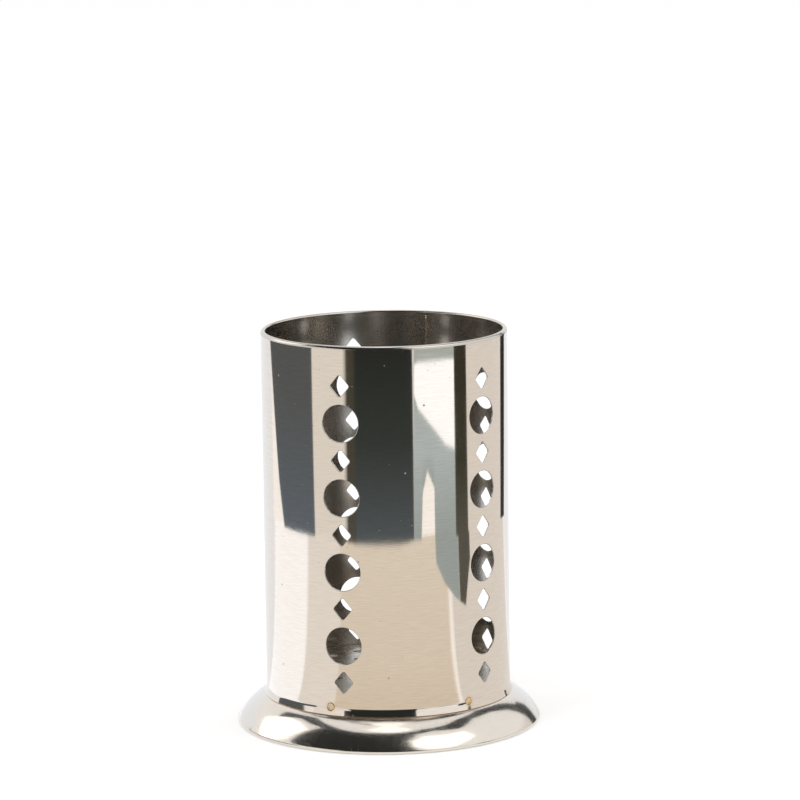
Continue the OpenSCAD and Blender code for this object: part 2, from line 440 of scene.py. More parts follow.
class PunchedColumn:
    """One column's share of the tube's sheet, still flat, with its cut-outs and its weld hole.

    The sheet lies in the XZ plane with its outer face towards -Y. X is the length along the
    outer face of the rolled tube.
    """

    LINES = 40
    CELL_HALF_LINES = 6
    CELL_HALF_ROWS = {"disc": 6, "lozenge": 4}
    WELD_HALF_LINES = 2
    WELD_HALF_ROWS = 4
    WELD_HALF_H = 0.75
    CELL_REFINE = 2
    WELD_REFINE = 3

    def __init__(self, tube, cutouts, welds):
        self.tube = tube
        self.cutouts = cutouts
        self.welds = welds
        self.sheet = SheetMesh()
        self.grid = {}
        self.step = 2 * math.pi / cutouts.columns / self.LINES
        self.cells = []
        self.rows = self.lay_rows()
        face = [wall_face(tube, z) for z in self.rows] + rim_face(tube)[1:]
        self.face_count = len(face)
        self.section = closed_section(face, tube.sheet, tube.edge, level_start=True)

    def lay_rows(self):
        """Heights of the rows of the straight wall, with a cell for each hole."""
        tube, cutouts, welds = self.tube, self.cutouts, self.welds
        pitch = (cutouts.highest_z - cutouts.lowest_z) / (cutouts.count - 1)
        kinds = ["lozenge" if i % 2 == 0 else "disc" for i in range(cutouts.count)]
        slack = pitch - (cutouts.disc_d + cutouts.lozenge_h) / 2
        half_heights = {
            "disc": (cutouts.disc_d + slack) / 2,
            "lozenge": (cutouts.lozenge_h + slack) / 2,
        }
        weld_half_h = self.WELD_HALF_H * welds.diameter
        rows = [tube.foot_z]
        offsets = weld_offsets(cutouts, welds)
        middle_line = round(sum(offsets) / len(offsets) / self.step)
        self.weld_offset = middle_line * self.step
        self.add_cell(rows, "weld", middle_line, welds.collar_z, weld_half_h, self.WELD_HALF_ROWS)
        self.fill_rows(rows, cutouts.lowest_z - half_heights["lozenge"], 2)
        for i, kind in enumerate(kinds):
            centre_z = cutouts.lowest_z + i * pitch
            self.add_cell(rows, kind, 0, centre_z, half_heights[kind], self.CELL_HALF_ROWS[kind])
        self.fill_rows(rows, rim_face(tube)[0][0].y, 6)
        return rows

    def add_cell(self, rows, kind, centre_line, centre_z, half_h, half_rows):
        """Adds the rows of one cell and notes where it lies."""
        if centre_z - half_h - rows[-1] > self.tube.edge:
            rows.append(centre_z - half_h)
        first_row = len(rows) - 1
        self.fill_rows(rows, centre_z + half_h, 2 * half_rows)
        half_lines = self.WELD_HALF_LINES if kind == "weld" else self.CELL_HALF_LINES
        self.cells.append((kind, centre_line, centre_z, half_lines, first_row, len(rows) - 1))

    @staticmethod
    def fill_rows(rows, end, count):
        """Adds evenly spaced rows up to a height."""
        start = rows[-1]
        rows.extend(start + (end - start) * (i + 1) / count for i in range(count))

    def flat_point(self, angle, point):
        """Place in the flat sheet of a section point that will lie at an angle in the rolled tube."""
        return Vector((angle * self.tube.radius, self.tube.radius - point.x, point.y))

    def corner_point(self, line, index):
        """Number of the point where a line of the grid crosses a point of the section."""
        if (line, index) not in self.grid:
            point, normal = self.section[index]
            angle = line * self.step
            flat_normal = Vector((0, -normal.x, normal.y))
            self.grid[line, index] = self.sheet.add(self.flat_point(angle, point), flat_normal)
        return self.grid[line, index]

    def hidden_index(self, row):
        """Index in the section of a row's point on the hidden face."""
        return 2 * self.face_count + 3 - row

    def in_cell(self, line, row):
        """True if the square at this line and row belongs to a cell."""
        return any(
            abs(line + 0.5 - centre) < half and first <= row < last
            for _, centre, _, half, first, last in self.cells
        )

    def build(self):
        """Makes the flat column as an object."""
        count = len(self.section)
        half = self.LINES // 2
        last_row = len(self.rows) - 1
        for line in range(-half, half):
            for index in range(count):
                row = index if index < last_row else self.hidden_index(0) - index - 1
                if 0 <= row < last_row and self.in_cell(line, row):
                    continue
                after = (index + 1) % count
                self.sheet.faces.append((
                    self.corner_point(line, index), self.corner_point(line + 1, index),
                    self.corner_point(line + 1, after), self.corner_point(line, after),
                ))
        for cell in self.cells:
            self.punch(*cell)
        return self.sheet.to_object("flat_column")

    def cell_border(self, centre, half, first, last):
        """Grid positions round a cell, clockwise from the middle of its top, as (line, row) pairs."""
        middle = (first + last) // 2
        top = [(centre + i, last) for i in range(half)]
        right = [(centre + half, row) for row in range(last, middle, -1)]
        right_low = [(centre + half, row) for row in range(middle, first, -1)]
        bottom = [(centre + i, first) for i in range(half, -half, -1)]
        left = [(centre - half, row) for row in range(first, last)]
        top_left = [(centre + i, last) for i in range(-half, 0)]
        return top + right + right_low + bottom + left + top_left

    def punch(self, kind, centre, centre_z, half, first, last):
        """Fills a cell with rings of faces round its hole, on both faces of the sheet."""
        border = self.cell_border(centre, half, first, last)
        refine = self.WELD_REFINE if kind == "weld" else self.CELL_REFINE
        per_quarter = len(border) * refine // 4
        if kind == "lozenge":
            outline = lozenge_outline(self.cutouts, per_quarter)
        else:
            diameter = self.welds.diameter if kind == "weld" else self.cutouts.disc_d
            outline = disc_outline(diameter, per_quarter)
        border_places = [Vector((line * self.step, self.rows[row])) for line, row in border]
        fine_border = [
            border_places[i].lerp(border_places[(i + 1) % len(border)], k / refine)
            for i in range(len(border)) for k in range(refine)
        ]
        hole = HoleRings(self, centre * self.step, centre_z, outline, fine_border)
        shown = [self.corner_point(line, row) for line, row in border]
        hidden = [self.corner_point(line, self.hidden_index(row)) for line, row in border]
        roll = min(self.cutouts.die_roll, 0.45 * self.tube.sheet)
        rings = [
            hole.on_face(1 / 3, 0, roll), hole.on_face(2 / 3, 0, roll), hole.on_face(1, 0, roll),
            hole.on_wall(roll), hole.on_wall(self.tube.sheet - roll / 2),
            hole.on_face(1, self.tube.sheet, roll / 2), hole.on_face(2 / 3, self.tube.sheet, roll / 2),
            hole.on_face(1 / 3, self.tube.sheet, roll / 2),
        ]
        self.join_border(shown, rings[0], refine, False)
        for near, far in zip(rings, rings[1:]):
            for k in range(len(near)):
                after = (k + 1) % len(near)
                self.sheet.faces.append((near[k], far[k], far[after], near[after]))
        self.join_border(hidden, rings[-1], refine, True)

    def join_border(self, border, ring, refine, hidden):
        """Joins a cell's border to its finer outermost ring."""
        for i in range(len(border)):
            after = (i + 1) % len(border)
            fine = [ring[(i * refine + k) % len(ring)] for k in range(refine, -1, -1)]
            face = [border[i], border[after], *fine]
            self.sheet.faces.append(tuple(face) if hidden else tuple(reversed(face)))


class HoleRings:
    """Rings of points round one hole of the flat sheet."""

    def __init__(self, column, centre_angle, centre_z, outline, border):
        self.column = column
        self.centre_angle = centre_angle
        self.centre_z = centre_z
        self.outline = outline
        self.border = border

    def add(self, place, angle_from_centre, depth, normal, edge):
        """Adds one point at a place of the wall and a depth in the sheet."""
        tube = self.column.tube
        point, outward = wall_face(tube, place.y)
        inside = point - depth * outward
        if normal is None:
            side = -1 if depth > 0 else 1
            flat_normal = Vector((0, -side * outward.x, side * outward.y))
        else:
            turn = angle_from_centre
            flat_normal = Vector((normal.x * math.cos(turn), -normal.x * math.sin(turn), normal.y))
        return self.column.sheet.add(self.column.flat_point(place.x, inside), flat_normal, edge)

    def hole_place(self, index, grown):
        """Angle and height of an outline point. The punch runs straight along the hole's axis."""
        point, outward = self.outline[index]
        point = point + grown * outward
        angle = math.asin(point.x / self.column.tube.radius)
        return Vector((self.centre_angle + angle, self.centre_z + point.y)), angle

    def on_face(self, share, depth, roll):
        """A ring on a face of the sheet, a share of the way from the cell's border to the hole."""
        ring = []
        for index, border_place in enumerate(self.border):
            place, angle = self.hole_place(index, roll)
            ring.append(self.add(border_place.lerp(place, share), angle, depth, None, 0.0))
        return ring

    def on_wall(self, depth):
        """A ring on the wall of the hole."""
        ring = []
        for index, (_, outward) in enumerate(self.outline):
            place, angle = self.hole_place(index, 0)
            ring.append(self.add(place, angle, depth, -outward, 1.0))
        return ring


# Geometry node trees

def new_node(tree, kind, values=None, **settings):
    """Adds a node, sets its own settings and the values of its sockets."""
    made = tree.nodes.new(kind)
    for name, value in settings.items():
        setattr(made, name, value)
    for socket, value in (values or {}).items():
        made.inputs[socket].default_value = value
    return made


def wire(tree, *pairs):
    """Links pairs of an output and an input."""
    for output, target in pairs:
        tree.links.new(output, target)


def arithmetic(tree, operation, *terms, clamp=False):
    """Output of a Math node whose terms are sockets or numbers."""
    made = new_node(tree, "ShaderNodeMath", operation=operation, use_clamp=clamp)
    for index, term in enumerate(terms):
        if isinstance(term, bpy.types.NodeSocket):
            tree.links.new(term, made.inputs[index])
        else:
            made.inputs[index].default_value = term
    return made.outputs[0]


def new_tree(name, inputs):
    """A geometry node tree with named inputs after its geometry. Returns the tree and its two ends."""
    tree = bpy.data.node_groups.new(name, "GeometryNodeTree")
    tree.interface.new_socket("Geometry", in_out="INPUT", socket_type="NodeSocketGeometry")
    for socket, kind in inputs.items():
        tree.interface.new_socket(socket, in_out="INPUT", socket_type="NodeSocket" + kind)
    tree.interface.new_socket("Geometry", in_out="OUTPUT", socket_type="NodeSocketGeometry")
    return tree, tree.nodes.new("NodeGroupInput"), tree.nodes.new("NodeGroupOutput")


def evaluate_tree(source, tree, values, name):
    """Runs a tree on an object, keeps the result as a plain mesh object and removes the source."""
    modifier = source.modifiers.new(tree.name, "NODES")
    modifier.node_group = tree
    identifiers = {item.name: item.identifier for item in tree.interface.items_tree if item.in_out == "INPUT"}
    for socket, value in values.items():
        modifier[identifiers[socket]] = value
    graph = bpy.context.evaluated_depsgraph_get()
    mesh = bpy.data.meshes.new_from_object(source.evaluated_get(graph), depsgraph=graph)
    mesh.name = name
    source.modifiers.remove(modifier)
    bpy.data.objects.remove(source)
    return link_object(name, mesh)


def roll_tree():
    """Lays copies of a flat column side by side, and rolls the sheet into a tube."""
    tree, given, result = new_tree("Roll Punched Sheet", {
        "Columns": "Int", "Radius": "Float", "Seam Angle": "Float", "Middle Azimuth": "Float",
        "Outside": "Material", "Inside": "Material",
    })
    count, radius = given.outputs["Columns"], given.outputs["Radius"]
    circumference = arithmetic(tree, "MULTIPLY", radius, 2 * math.pi)
    pitch = arithmetic(tree, "DIVIDE", circumference, count)
    half_span = arithmetic(tree, "MULTIPLY", arithmetic(tree, "SUBTRACT", count, 1.0), 0.5)
    start = new_node(tree, "ShaderNodeCombineXYZ")
    step = new_node(tree, "ShaderNodeCombineXYZ")
    first_x = arithmetic(tree, "MULTIPLY", arithmetic(tree, "MULTIPLY", pitch, half_span), -1.0)
    line = new_node(tree, "GeometryNodeMeshLine")
    copies = new_node(tree, "GeometryNodeInstanceOnPoints")
    realize = new_node(tree, "GeometryNodeRealizeInstances")
    merge = new_node(tree, "GeometryNodeMergeByDistance", {"Distance": 0.002 * MM})
    place = new_node(tree, "GeometryNodeInputPosition")
    split = new_node(tree, "ShaderNodeSeparateXYZ")
    end_x = arithmetic(
        tree, "MULTIPLY", radius,
        arithmetic(tree, "SUBTRACT", math.pi, arithmetic(tree, "MULTIPLY", given.outputs["Seam Angle"], 0.5)),
    )
    kept_x = arithmetic(
        tree, "MAXIMUM", arithmetic(tree, "MINIMUM", split.outputs["X"], end_x),
        arithmetic(tree, "MULTIPLY", end_x, -1.0),
    )
    azimuth = arithmetic(
        tree, "ADD", arithmetic(tree, "DIVIDE", kept_x, radius), given.outputs["Middle Azimuth"]
    )
    reach = arithmetic(tree, "SUBTRACT", radius, split.outputs["Y"])
    rolled = new_node(tree, "ShaderNodeCombineXYZ")
    rolled_x = arithmetic(tree, "MULTIPLY", reach, arithmetic(tree, "SINE", azimuth))
    forward = arithmetic(tree, "MULTIPLY", reach, arithmetic(tree, "COSINE", azimuth))
    roll = new_node(tree, "GeometryNodeSetPosition")
    faces_in = arithmetic(tree, "GREATER_THAN", split.outputs["Y"], 0.0)
    outside = new_node(tree, "GeometryNodeSetMaterial")
    inside = new_node(tree, "GeometryNodeSetMaterial")
    wholly_in = 0.75
    depth_rule = new_node(tree, "GeometryNodeCaptureAttribute", domain="FACE")
    depth_rule.capture_items.new("FLOAT", "Inner Face")
    inner_faces = arithmetic(tree, "GREATER_THAN", depth_rule.outputs["Inner Face"], wholly_in)
    wire(
        tree,
        (first_x, start.inputs["X"]), (pitch, step.inputs["X"]),
        (count, line.inputs["Count"]),
        (start.outputs[0], line.inputs["Start Location"]), (step.outputs[0], line.inputs["Offset"]),
        (line.outputs["Mesh"], copies.inputs["Points"]),
        (given.outputs["Geometry"], copies.inputs["Instance"]),
        (copies.outputs["Instances"], realize.inputs["Geometry"]),
        (realize.outputs["Geometry"], merge.inputs["Geometry"]),
        (merge.outputs["Geometry"], depth_rule.inputs["Geometry"]),
        (place.outputs["Position"], split.inputs["Vector"]),
        (faces_in, depth_rule.inputs["Inner Face"]),
        (depth_rule.outputs["Geometry"], roll.inputs["Geometry"]),
        (rolled_x, rolled.inputs["X"]),
        (arithmetic(tree, "MULTIPLY", forward, -1.0), rolled.inputs["Y"]),
        (split.outputs["Z"], rolled.inputs["Z"]),
        (rolled.outputs[0], roll.inputs["Position"]),
        (roll.outputs["Geometry"], outside.inputs["Geometry"]),
        (given.outputs["Outside"], outside.inputs["Material"]),
        (outside.outputs["Geometry"], inside.inputs["Geometry"]),
        (inner_faces, inside.inputs["Selection"]),
        (given.outputs["Inside"], inside.inputs["Material"]),
        (inside.outputs["Geometry"], result.inputs["Geometry"]),
    )
    return tree


def ring_tree():
    """Sets copies of a piece round the Z axis, each a step on from the one before."""
    tree, given, result = new_tree("Ring of Welds", {
        "Count": "Int", "Step": "Float", "First Azimuth": "Float", "Finish": "Material",
    })
    line = new_node(tree, "GeometryNodeMeshLine", {"Offset": (0, 0, 0)})
    index = new_node(tree, "GeometryNodeInputIndex")
    turn = new_node(tree, "ShaderNodeCombineXYZ")
    copies = new_node(tree, "GeometryNodeInstanceOnPoints")
    realize = new_node(tree, "GeometryNodeRealizeInstances")
    finish = new_node(tree, "GeometryNodeSetMaterial")
    turned = arithmetic(tree, "MULTIPLY", index.outputs[0], given.outputs["Step"])
    azimuth = arithmetic(tree, "ADD", turned, given.outputs["First Azimuth"])
    wire(
        tree,
        (given.outputs["Count"], line.inputs["Count"]),
        (line.outputs["Mesh"], copies.inputs["Points"]),
        (given.outputs["Geometry"], copies.inputs["Instance"]),
        (azimuth, turn.inputs["Z"]),
        (turn.outputs[0], copies.inputs["Rotation"]),
        (copies.outputs["Instances"], realize.inputs["Geometry"]),
        (realize.outputs["Geometry"], finish.inputs["Geometry"]),
        (given.outputs["Finish"], finish.inputs["Material"]),
        (finish.outputs["Geometry"], result.inputs["Geometry"]),
    )
    return tree


def hole_ring(tree, count, reach, radius, turn, resolution):
    """Circles of one radius, set on the points of a larger circle. Returns the geometry output."""
    path = new_node(tree, "GeometryNodeCurvePrimitiveCircle", mode="RADIUS")
    hole = new_node(tree, "GeometryNodeCurvePrimitiveCircle", {"Resolution": resolution}, mode="RADIUS")
    points = new_node(tree, "GeometryNodeCurveToPoints", mode="EVALUATED")
    copies = new_node(tree, "GeometryNodeInstanceOnPoints")
    turned = new_node(tree, "GeometryNodeTransform")
    angle = new_node(tree, "ShaderNodeCombineXYZ")
    for output, target in (
        (count, path.inputs["Resolution"]), (reach, path.inputs["Radius"]),
        (radius, hole.inputs["Radius"]), (turn, angle.inputs["Z"]),
    ):
        tree.links.new(output, target)
    wire(
        tree,
        (path.outputs["Curve"], points.inputs["Curve"]),
        (points.outputs["Points"], copies.inputs["Points"]),
        (hole.outputs["Curve"], copies.inputs["Instance"]),
        (copies.outputs["Instances"], turned.inputs["Geometry"]),
        (angle.outputs[0], turned.inputs["Rotation"]),
    )
    return turned.outputs["Geometry"]


def floor_tree(rings):
    """A round sheet with rings of drain holes and a ring of holes that the welds fill."""
    tree, given, result = new_tree("Perforated Floor", {
        "Radius": "Float", "Sheet": "Float", "Underside": "Float", "Hole Radius": "Float",
        "Ring Pitch": "Float", "Ring Step": "Int", "Weld Count": "Int", "Weld Reach": "Float",
        "Weld Radius": "Float", "Weld Azimuth": "Float", "Finish": "Material",
    })
    rim = new_node(tree, "GeometryNodeCurvePrimitiveCircle", {"Resolution": 240}, mode="RADIUS")
    outlines = new_node(tree, "GeometryNodeJoinGeometry")
    realize = new_node(tree, "GeometryNodeRealizeInstances")
    fill = new_node(tree, "GeometryNodeFillCurve", mode="TRIANGLES")
    lift = new_node(tree, "ShaderNodeCombineXYZ")
    placed = new_node(tree, "GeometryNodeTransform")
    raise_top = new_node(tree, "GeometryNodeExtrudeMesh", {"Individual": False}, mode="FACES")
    underside = new_node(tree, "GeometryNodeFlipFaces")
    both = new_node(tree, "GeometryNodeJoinGeometry")
    merge = new_node(tree, "GeometryNodeMergeByDistance", {"Distance": 0.002 * MM})
    finish = new_node(tree, "GeometryNodeSetMaterial")
    straight_up = new_node(tree, "ShaderNodeCombineXYZ", {"Z": 1.0})
    for ring in range(1, rings + 1):
        holes = hole_ring(
            tree,
            arithmetic(tree, "MULTIPLY", given.outputs["Ring Step"], float(ring)),
            arithmetic(tree, "MULTIPLY", given.outputs["Ring Pitch"], float(ring)),
            given.outputs["Hole Radius"], arithmetic(tree, "ADD", -math.pi / 2, 0.0), 40,
        )
        tree.links.new(holes, outlines.inputs["Geometry"])
    weld_turn = arithmetic(tree, "SUBTRACT", given.outputs["Weld Azimuth"], math.pi / 2)
    weld_holes = hole_ring(
        tree, given.outputs["Weld Count"], given.outputs["Weld Reach"],
        given.outputs["Weld Radius"], weld_turn, 32,
    )
    wire(
        tree,
        (given.outputs["Radius"], rim.inputs["Radius"]),
        (weld_holes, outlines.inputs["Geometry"]),
        (rim.outputs["Curve"], outlines.inputs["Geometry"]),
        (outlines.outputs["Geometry"], realize.inputs["Geometry"]),
        (realize.outputs["Geometry"], fill.inputs["Curve"]),
        (given.outputs["Underside"], lift.inputs["Z"]),
        (fill.outputs["Mesh"], placed.inputs["Geometry"]),
        (lift.outputs[0], placed.inputs["Translation"]),
        (placed.outputs["Geometry"], raise_top.inputs["Mesh"]),
        (straight_up.outputs[0], raise_top.inputs["Offset"]),
        (given.outputs["Sheet"], raise_top.inputs["Offset Scale"]),
        (placed.outputs["Geometry"], underside.inputs["Mesh"]),
        (raise_top.outputs["Mesh"], both.inputs["Geometry"]),
        (underside.outputs["Mesh"], both.inputs["Geometry"]),
        (both.outputs["Geometry"], merge.inputs["Geometry"]),
        (merge.outputs["Geometry"], finish.inputs["Geometry"]),
        (given.outputs["Finish"], finish.inputs["Material"]),
        (finish.outputs["Geometry"], result.inputs["Geometry"]),
    )
    return tree


# Shader node groups

def new_group(name, inputs, outputs):
    """A shader node group with named inputs and outputs. Returns the group and its two ends."""
    group = bpy.data.node_groups.new(name, "ShaderNodeTree")
    for socket, (kind, default) in inputs.items():
        made = group.interface.new_socket(socket, in_out="INPUT", socket_type="NodeSocket" + kind)
        if default is not None:
            made.default_value = default
    for socket, kind in outputs.items():
        group.interface.new_socket(socket, in_out="OUTPUT", socket_type="NodeSocket" + kind)
    return group, group.nodes.new("NodeGroupInput"), group.nodes.new("NodeGroupOutput")


def group_of(name, build):
    """The shader node group of this name, built the first time that it is asked for."""
    return bpy.data.node_groups.get(name) or build(name)


def stretched(tree, vector, scale):
    """Coordinates scaled by a different number along each axis."""
    made = new_node(tree, "ShaderNodeVectorMath", {1: scale}, operation="MULTIPLY")
    tree.links.new(vector, made.inputs[0])
    return made.outputs[0]


def noise(tree, vector, scale, detail=2.0, roughness=0.5):
    """Value of a noise texture."""
    made = new_node(
        tree, "ShaderNodeTexNoise", {"Scale": scale, "Detail": detail, "Roughness": roughness}
    )
    tree.links.new(vector, made.inputs["Vector"])
    return made.outputs["Fac"]


def remap(tree, value, low, high, to_low=0.0, to_high=1.0):
    """A value mapped smoothly from one range to another."""
    made = new_node(
        tree, "ShaderNodeMapRange",
        {"From Min": low, "From Max": high, "To Min": to_low, "To Max": to_high},
        interpolation_type="SMOOTHSTEP",
    )
    tree.links.new(value, made.inputs["Value"])
    return made.outputs["Result"]


def build_brushing(name):
    """Fine lines that run round the Z axis. Puts out their height and the share of deep strokes."""
    group, given, result = new_group(
        name, {"Vector": ("Vector", None), "Lines": ("Float", 1500.0)},
        {"Height": "Float", "Strokes": "Float"},
    )
    along_z = new_node(group, "ShaderNodeCombineXYZ", {"X": 160.0, "Y": 160.0})
    fine = new_node(group, "ShaderNodeVectorMath", operation="MULTIPLY")
    wire(
        group,
        (given.outputs["Lines"], along_z.inputs["Z"]),
        (given.outputs["Vector"], fine.inputs[0]), (along_z.outputs[0], fine.inputs[1]),
    )
    lines = noise(group, fine.outputs[0], 1.0, 3.0, 0.65)
    patches = noise(group, stretched(group, given.outputs["Vector"], (60, 60, 300)), 1.0, 2.0)
    strokes = arithmetic(group, "MULTIPLY", remap(group, lines, 0.5, 0.72), remap(group, patches, 0.42, 0.68))
    wire(group, (lines, result.inputs["Height"]), (strokes, result.inputs["Strokes"]))
    return group


def build_scratches(name):
    """A few hair-thin scratches in all directions."""
    group, given, result = new_group(name, {"Vector": ("Vector", None)}, {"Mask": "Float"})
    total = None
    for tilt, seed in ((0.5, 3.0), (-0.9, 11.0), (1.35, 23.0)):
        turned = new_node(
            group, "ShaderNodeMapping", {"Location": (seed, seed, seed), "Rotation": (tilt, 0.6 * tilt, tilt)}
        )
        group.links.new(given.outputs["Vector"], turned.inputs["Vector"])
        hairs = noise(group, stretched(group, turned.outputs[0], (2400, 60, 60)), 1.0, 1.0)
        islands = noise(group, turned.outputs[0], 70.0, 1.0)
        thin, apart = remap(group, hairs, 0.70, 0.76), remap(group, islands, 0.58, 0.68)
        mask = arithmetic(group, "MULTIPLY", thin, apart)
        total = mask if total is None else arithmetic(group, "MAXIMUM", total, mask)
    group.links.new(total, result.inputs["Mask"])
    return group


def build_specks(name):
    """Dust and dried drops: small round spots of several sizes, few and far between."""
    group, given, result = new_group(
        name, {"Vector": ("Vector", None), "Density": ("Float", 0.5)}, {"Mask": "Float"}
    )
    total = None
    share = arithmetic(group, "MULTIPLY", given.outputs["Density"], 0.1)
    for scale, size in ((260.0, 0.16), (700.0, 0.2)):
        cells = new_node(group, "ShaderNodeTexVoronoi", {"Scale": scale, "Randomness": 1.0})
        group.links.new(given.outputs["Vector"], cells.inputs["Vector"])
        chance = new_node(group, "ShaderNodeSeparateColor")
        group.links.new(cells.outputs["Color"], chance.inputs[0])
        picked = arithmetic(group, "LESS_THAN", chance.outputs[0], share)
        round_spot = remap(group, cells.outputs["Distance"], size, 0.4 * size)
        spot = arithmetic(group, "MULTIPLY", round_spot, picked)
        total = spot if total is None else arithmetic(group, "MAXIMUM", total, spot)
    group.links.new(total, result.inputs["Mask"])
    return group


def build_weld_tint(name):
    """Rings of heat tint round welds that repeat round the Z axis at one height."""
    group, given, result = new_group(name, {
        "Vector": ("Vector", None), "Reach": ("Float", 0.05), "Height": ("Float", 0.015),
        "Pitch": ("Float", 1.0), "First": ("Float", 0.0), "Radius": ("Float", 0.003),
    }, {"Mask": "Float"})
    split = new_node(group, "ShaderNodeSeparateXYZ")
    group.links.new(given.outputs["Vector"], split.inputs[0])
    pitch = given.outputs["Pitch"]
    azimuth = arithmetic(
        group, "ARCTAN2", split.outputs["X"], arithmetic(group, "MULTIPLY", split.outputs["Y"], -1.0)
    )
    past_first = arithmetic(group, "SUBTRACT", azimuth, given.outputs["First"])
    from_gap = arithmetic(group, "ADD", past_first, arithmetic(group, "MULTIPLY", pitch, 0.5))
    shifted = arithmetic(group, "FLOORED_MODULO", from_gap, 2 * math.pi)
    nearest = arithmetic(
        group, "SUBTRACT", arithmetic(group, "FLOORED_MODULO", shifted, pitch),
        arithmetic(group, "MULTIPLY", pitch, 0.5),
    )
    across = arithmetic(group, "MULTIPLY", nearest, given.outputs["Reach"])
    up = arithmetic(group, "SUBTRACT", split.outputs["Z"], given.outputs["Height"])
    distance = arithmetic(
        group, "SQRT", arithmetic(
            group, "ADD", arithmetic(group, "MULTIPLY", across, across), arithmetic(group, "MULTIPLY", up, up)
        ),
    )
    share = arithmetic(group, "DIVIDE", distance, given.outputs["Radius"])
    fade = arithmetic(group, "SUBTRACT", 1.0, remap(group, share, 0.45, 1.0))
    group.links.new(fade, result.inputs["Mask"])
    return group


# Materials

def use_group(tree, name, build, vector, **values):
    """Places a shader node group and sets its other inputs."""
    made = new_node(tree, "ShaderNodeGroup", node_tree=group_of(name, build))
    tree.links.new(vector, made.inputs["Vector"])
    for socket, value in values.items():
        made.inputs[socket.replace("_", " ")].default_value = value
    return made


def new_material(name):
    """A material with its node tree, its Principled shader and its Object coordinates."""
    material = bpy.data.materials.new(name)
    material.use_nodes = True
    tree = material.node_tree
    shader = tree.nodes["Principled BSDF"]
    shader.inputs["Metallic"].default_value = 1.0
    place = new_node(tree, "ShaderNodeTexCoord")
    return material, tree, shader, place.outputs["Object"]


def mix_colours(tree, share, first, second):
    """Colours mixed by a mask. Each is a socket or a plain colour."""
    made = new_node(tree, "ShaderNodeMix", data_type="RGBA")
    tree.links.new(share, made.inputs["Factor"])
    for socket, colour in ((6, first), (7, second)):
        if isinstance(colour, bpy.types.NodeSocket):
            tree.links.new(colour, made.inputs[socket])
        else:
            made.inputs[socket].default_value = (*colour, 1)
    return made.outputs[2]


def darker(colour, share):
    """A colour at a share of its brightness."""
    return tuple(share * channel for channel in colour)


def uneven(tree, patches, low, high, mask, extra):
    """Roughness that patches vary from low to high, and that a mask adds to."""
    added = arithmetic(tree, "MULTIPLY", mask, extra)
    return arithmetic(tree, "ADD", remap(tree, patches, 0.3, 0.7, low, high), added)


def paint(tree, shader, colour, rough):
    """Wires the colour and the roughness of a surface."""
    wire(tree, (colour, shader.inputs["Base Color"]), (rough, shader.inputs["Roughness"]))


def stack_bumps(tree, shader, layers):
    """Chains Bump nodes of (height, strength, distance) into the shader's normal."""
    normal = None
    for height, strength, distance in layers:
        bump = new_node(tree, "ShaderNodeBump", {"Strength": strength, "Distance": distance})
        tree.links.new(height, bump.inputs["Height"])
        if normal is not None:
            tree.links.new(normal, bump.inputs["Normal"])
        normal = bump.outputs["Normal"]
    tree.links.new(normal, shader.inputs["Normal"])


def stretch_round_axis(tree, shader, amount):
    """Makes the shader's reflections stretch across lines that run round the Z axis."""
    shader.inputs["Anisotropic"].default_value = amount
    tangent = new_node(tree, "ShaderNodeTangent", direction_type="RADIAL", axis="Z")
    tree.links.new(tangent.outputs["Tangent"], shader.inputs["Tangent"])


def weld_tint(tree, vector, tube, welds):
    """The heat tint round the collar welds."""
    return use_group(
        tree, "Weld Tint", build_weld_tint, vector,
        Reach=tube.radius, Height=welds.collar_z, First=welds.collar_first,
        Pitch=welds.collar_step, Radius=welds.tint_r,
    )


def polished_tube_steel(settings):
    """Mirror-polished sheet with faint brushing round the tube, a painted highlight on the cut edges and tint
    at the welds.
    """
    look, tube, welds = settings.steel, settings.tube, settings.welds
    material, tree, shader, place = new_material("polished_tube_steel")
    brushing = use_group(tree, "Brushing", build_brushing, place, Lines=3000.0)
    specks = use_group(tree, "Specks", build_specks, place, Density=0.2)
    tint = weld_tint(tree, place, tube, welds)
    edge = new_node(tree, "ShaderNodeAttribute", attribute_name=EDGE_NAME)
    patches = noise(tree, place, 40.0)
    lines = remap(tree, brushing.outputs["Height"], 0.34, 0.66)
    colour = mix_colours(tree, lines, darker(look.polished, 0.955), darker(look.polished, 1.035))
    spots = arithmetic(tree, "MULTIPLY", specks.outputs["Mask"], 0.6)
    colour = mix_colours(tree, spots, colour, darker(look.satin, 0.6))
    # Painted highlight: the cut edges get a pale colour that stands in for the bright rim that light makes on
    # the rounded punched edge.
    colour = mix_colours(tree, edge.outputs["Fac"], colour, (0.93, 0.91, 0.87))
    tint_share = arithmetic(tree, "MULTIPLY", tint.outputs["Mask"], 0.45)
    colour = mix_colours(tree, tint_share, colour, look.straw)
    rough = uneven(tree, patches, look.gloss, look.gloss + 0.02, brushing.outputs["Strokes"], 0.03)
    rough = arithmetic(tree, "MAXIMUM", rough, arithmetic(tree, "MULTIPLY", edge.outputs["Fac"], 0.3))
    rough = arithmetic(tree, "MAXIMUM", rough, arithmetic(tree, "MULTIPLY", specks.outputs["Mask"], 0.5))
    paint(tree, shader, colour, rough)
    stretch_round_axis(tree, shader, look.grain)
    waves = noise(tree, stretched(tree, place, (22, 22, 9)), 1.0, 1.0)
    stack_bumps(tree, shader, [
        (waves, 1.0, 0.03 * MM),
        (brushing.outputs["Height"], 1.0, 0.0008 * MM),
    ])
    return material


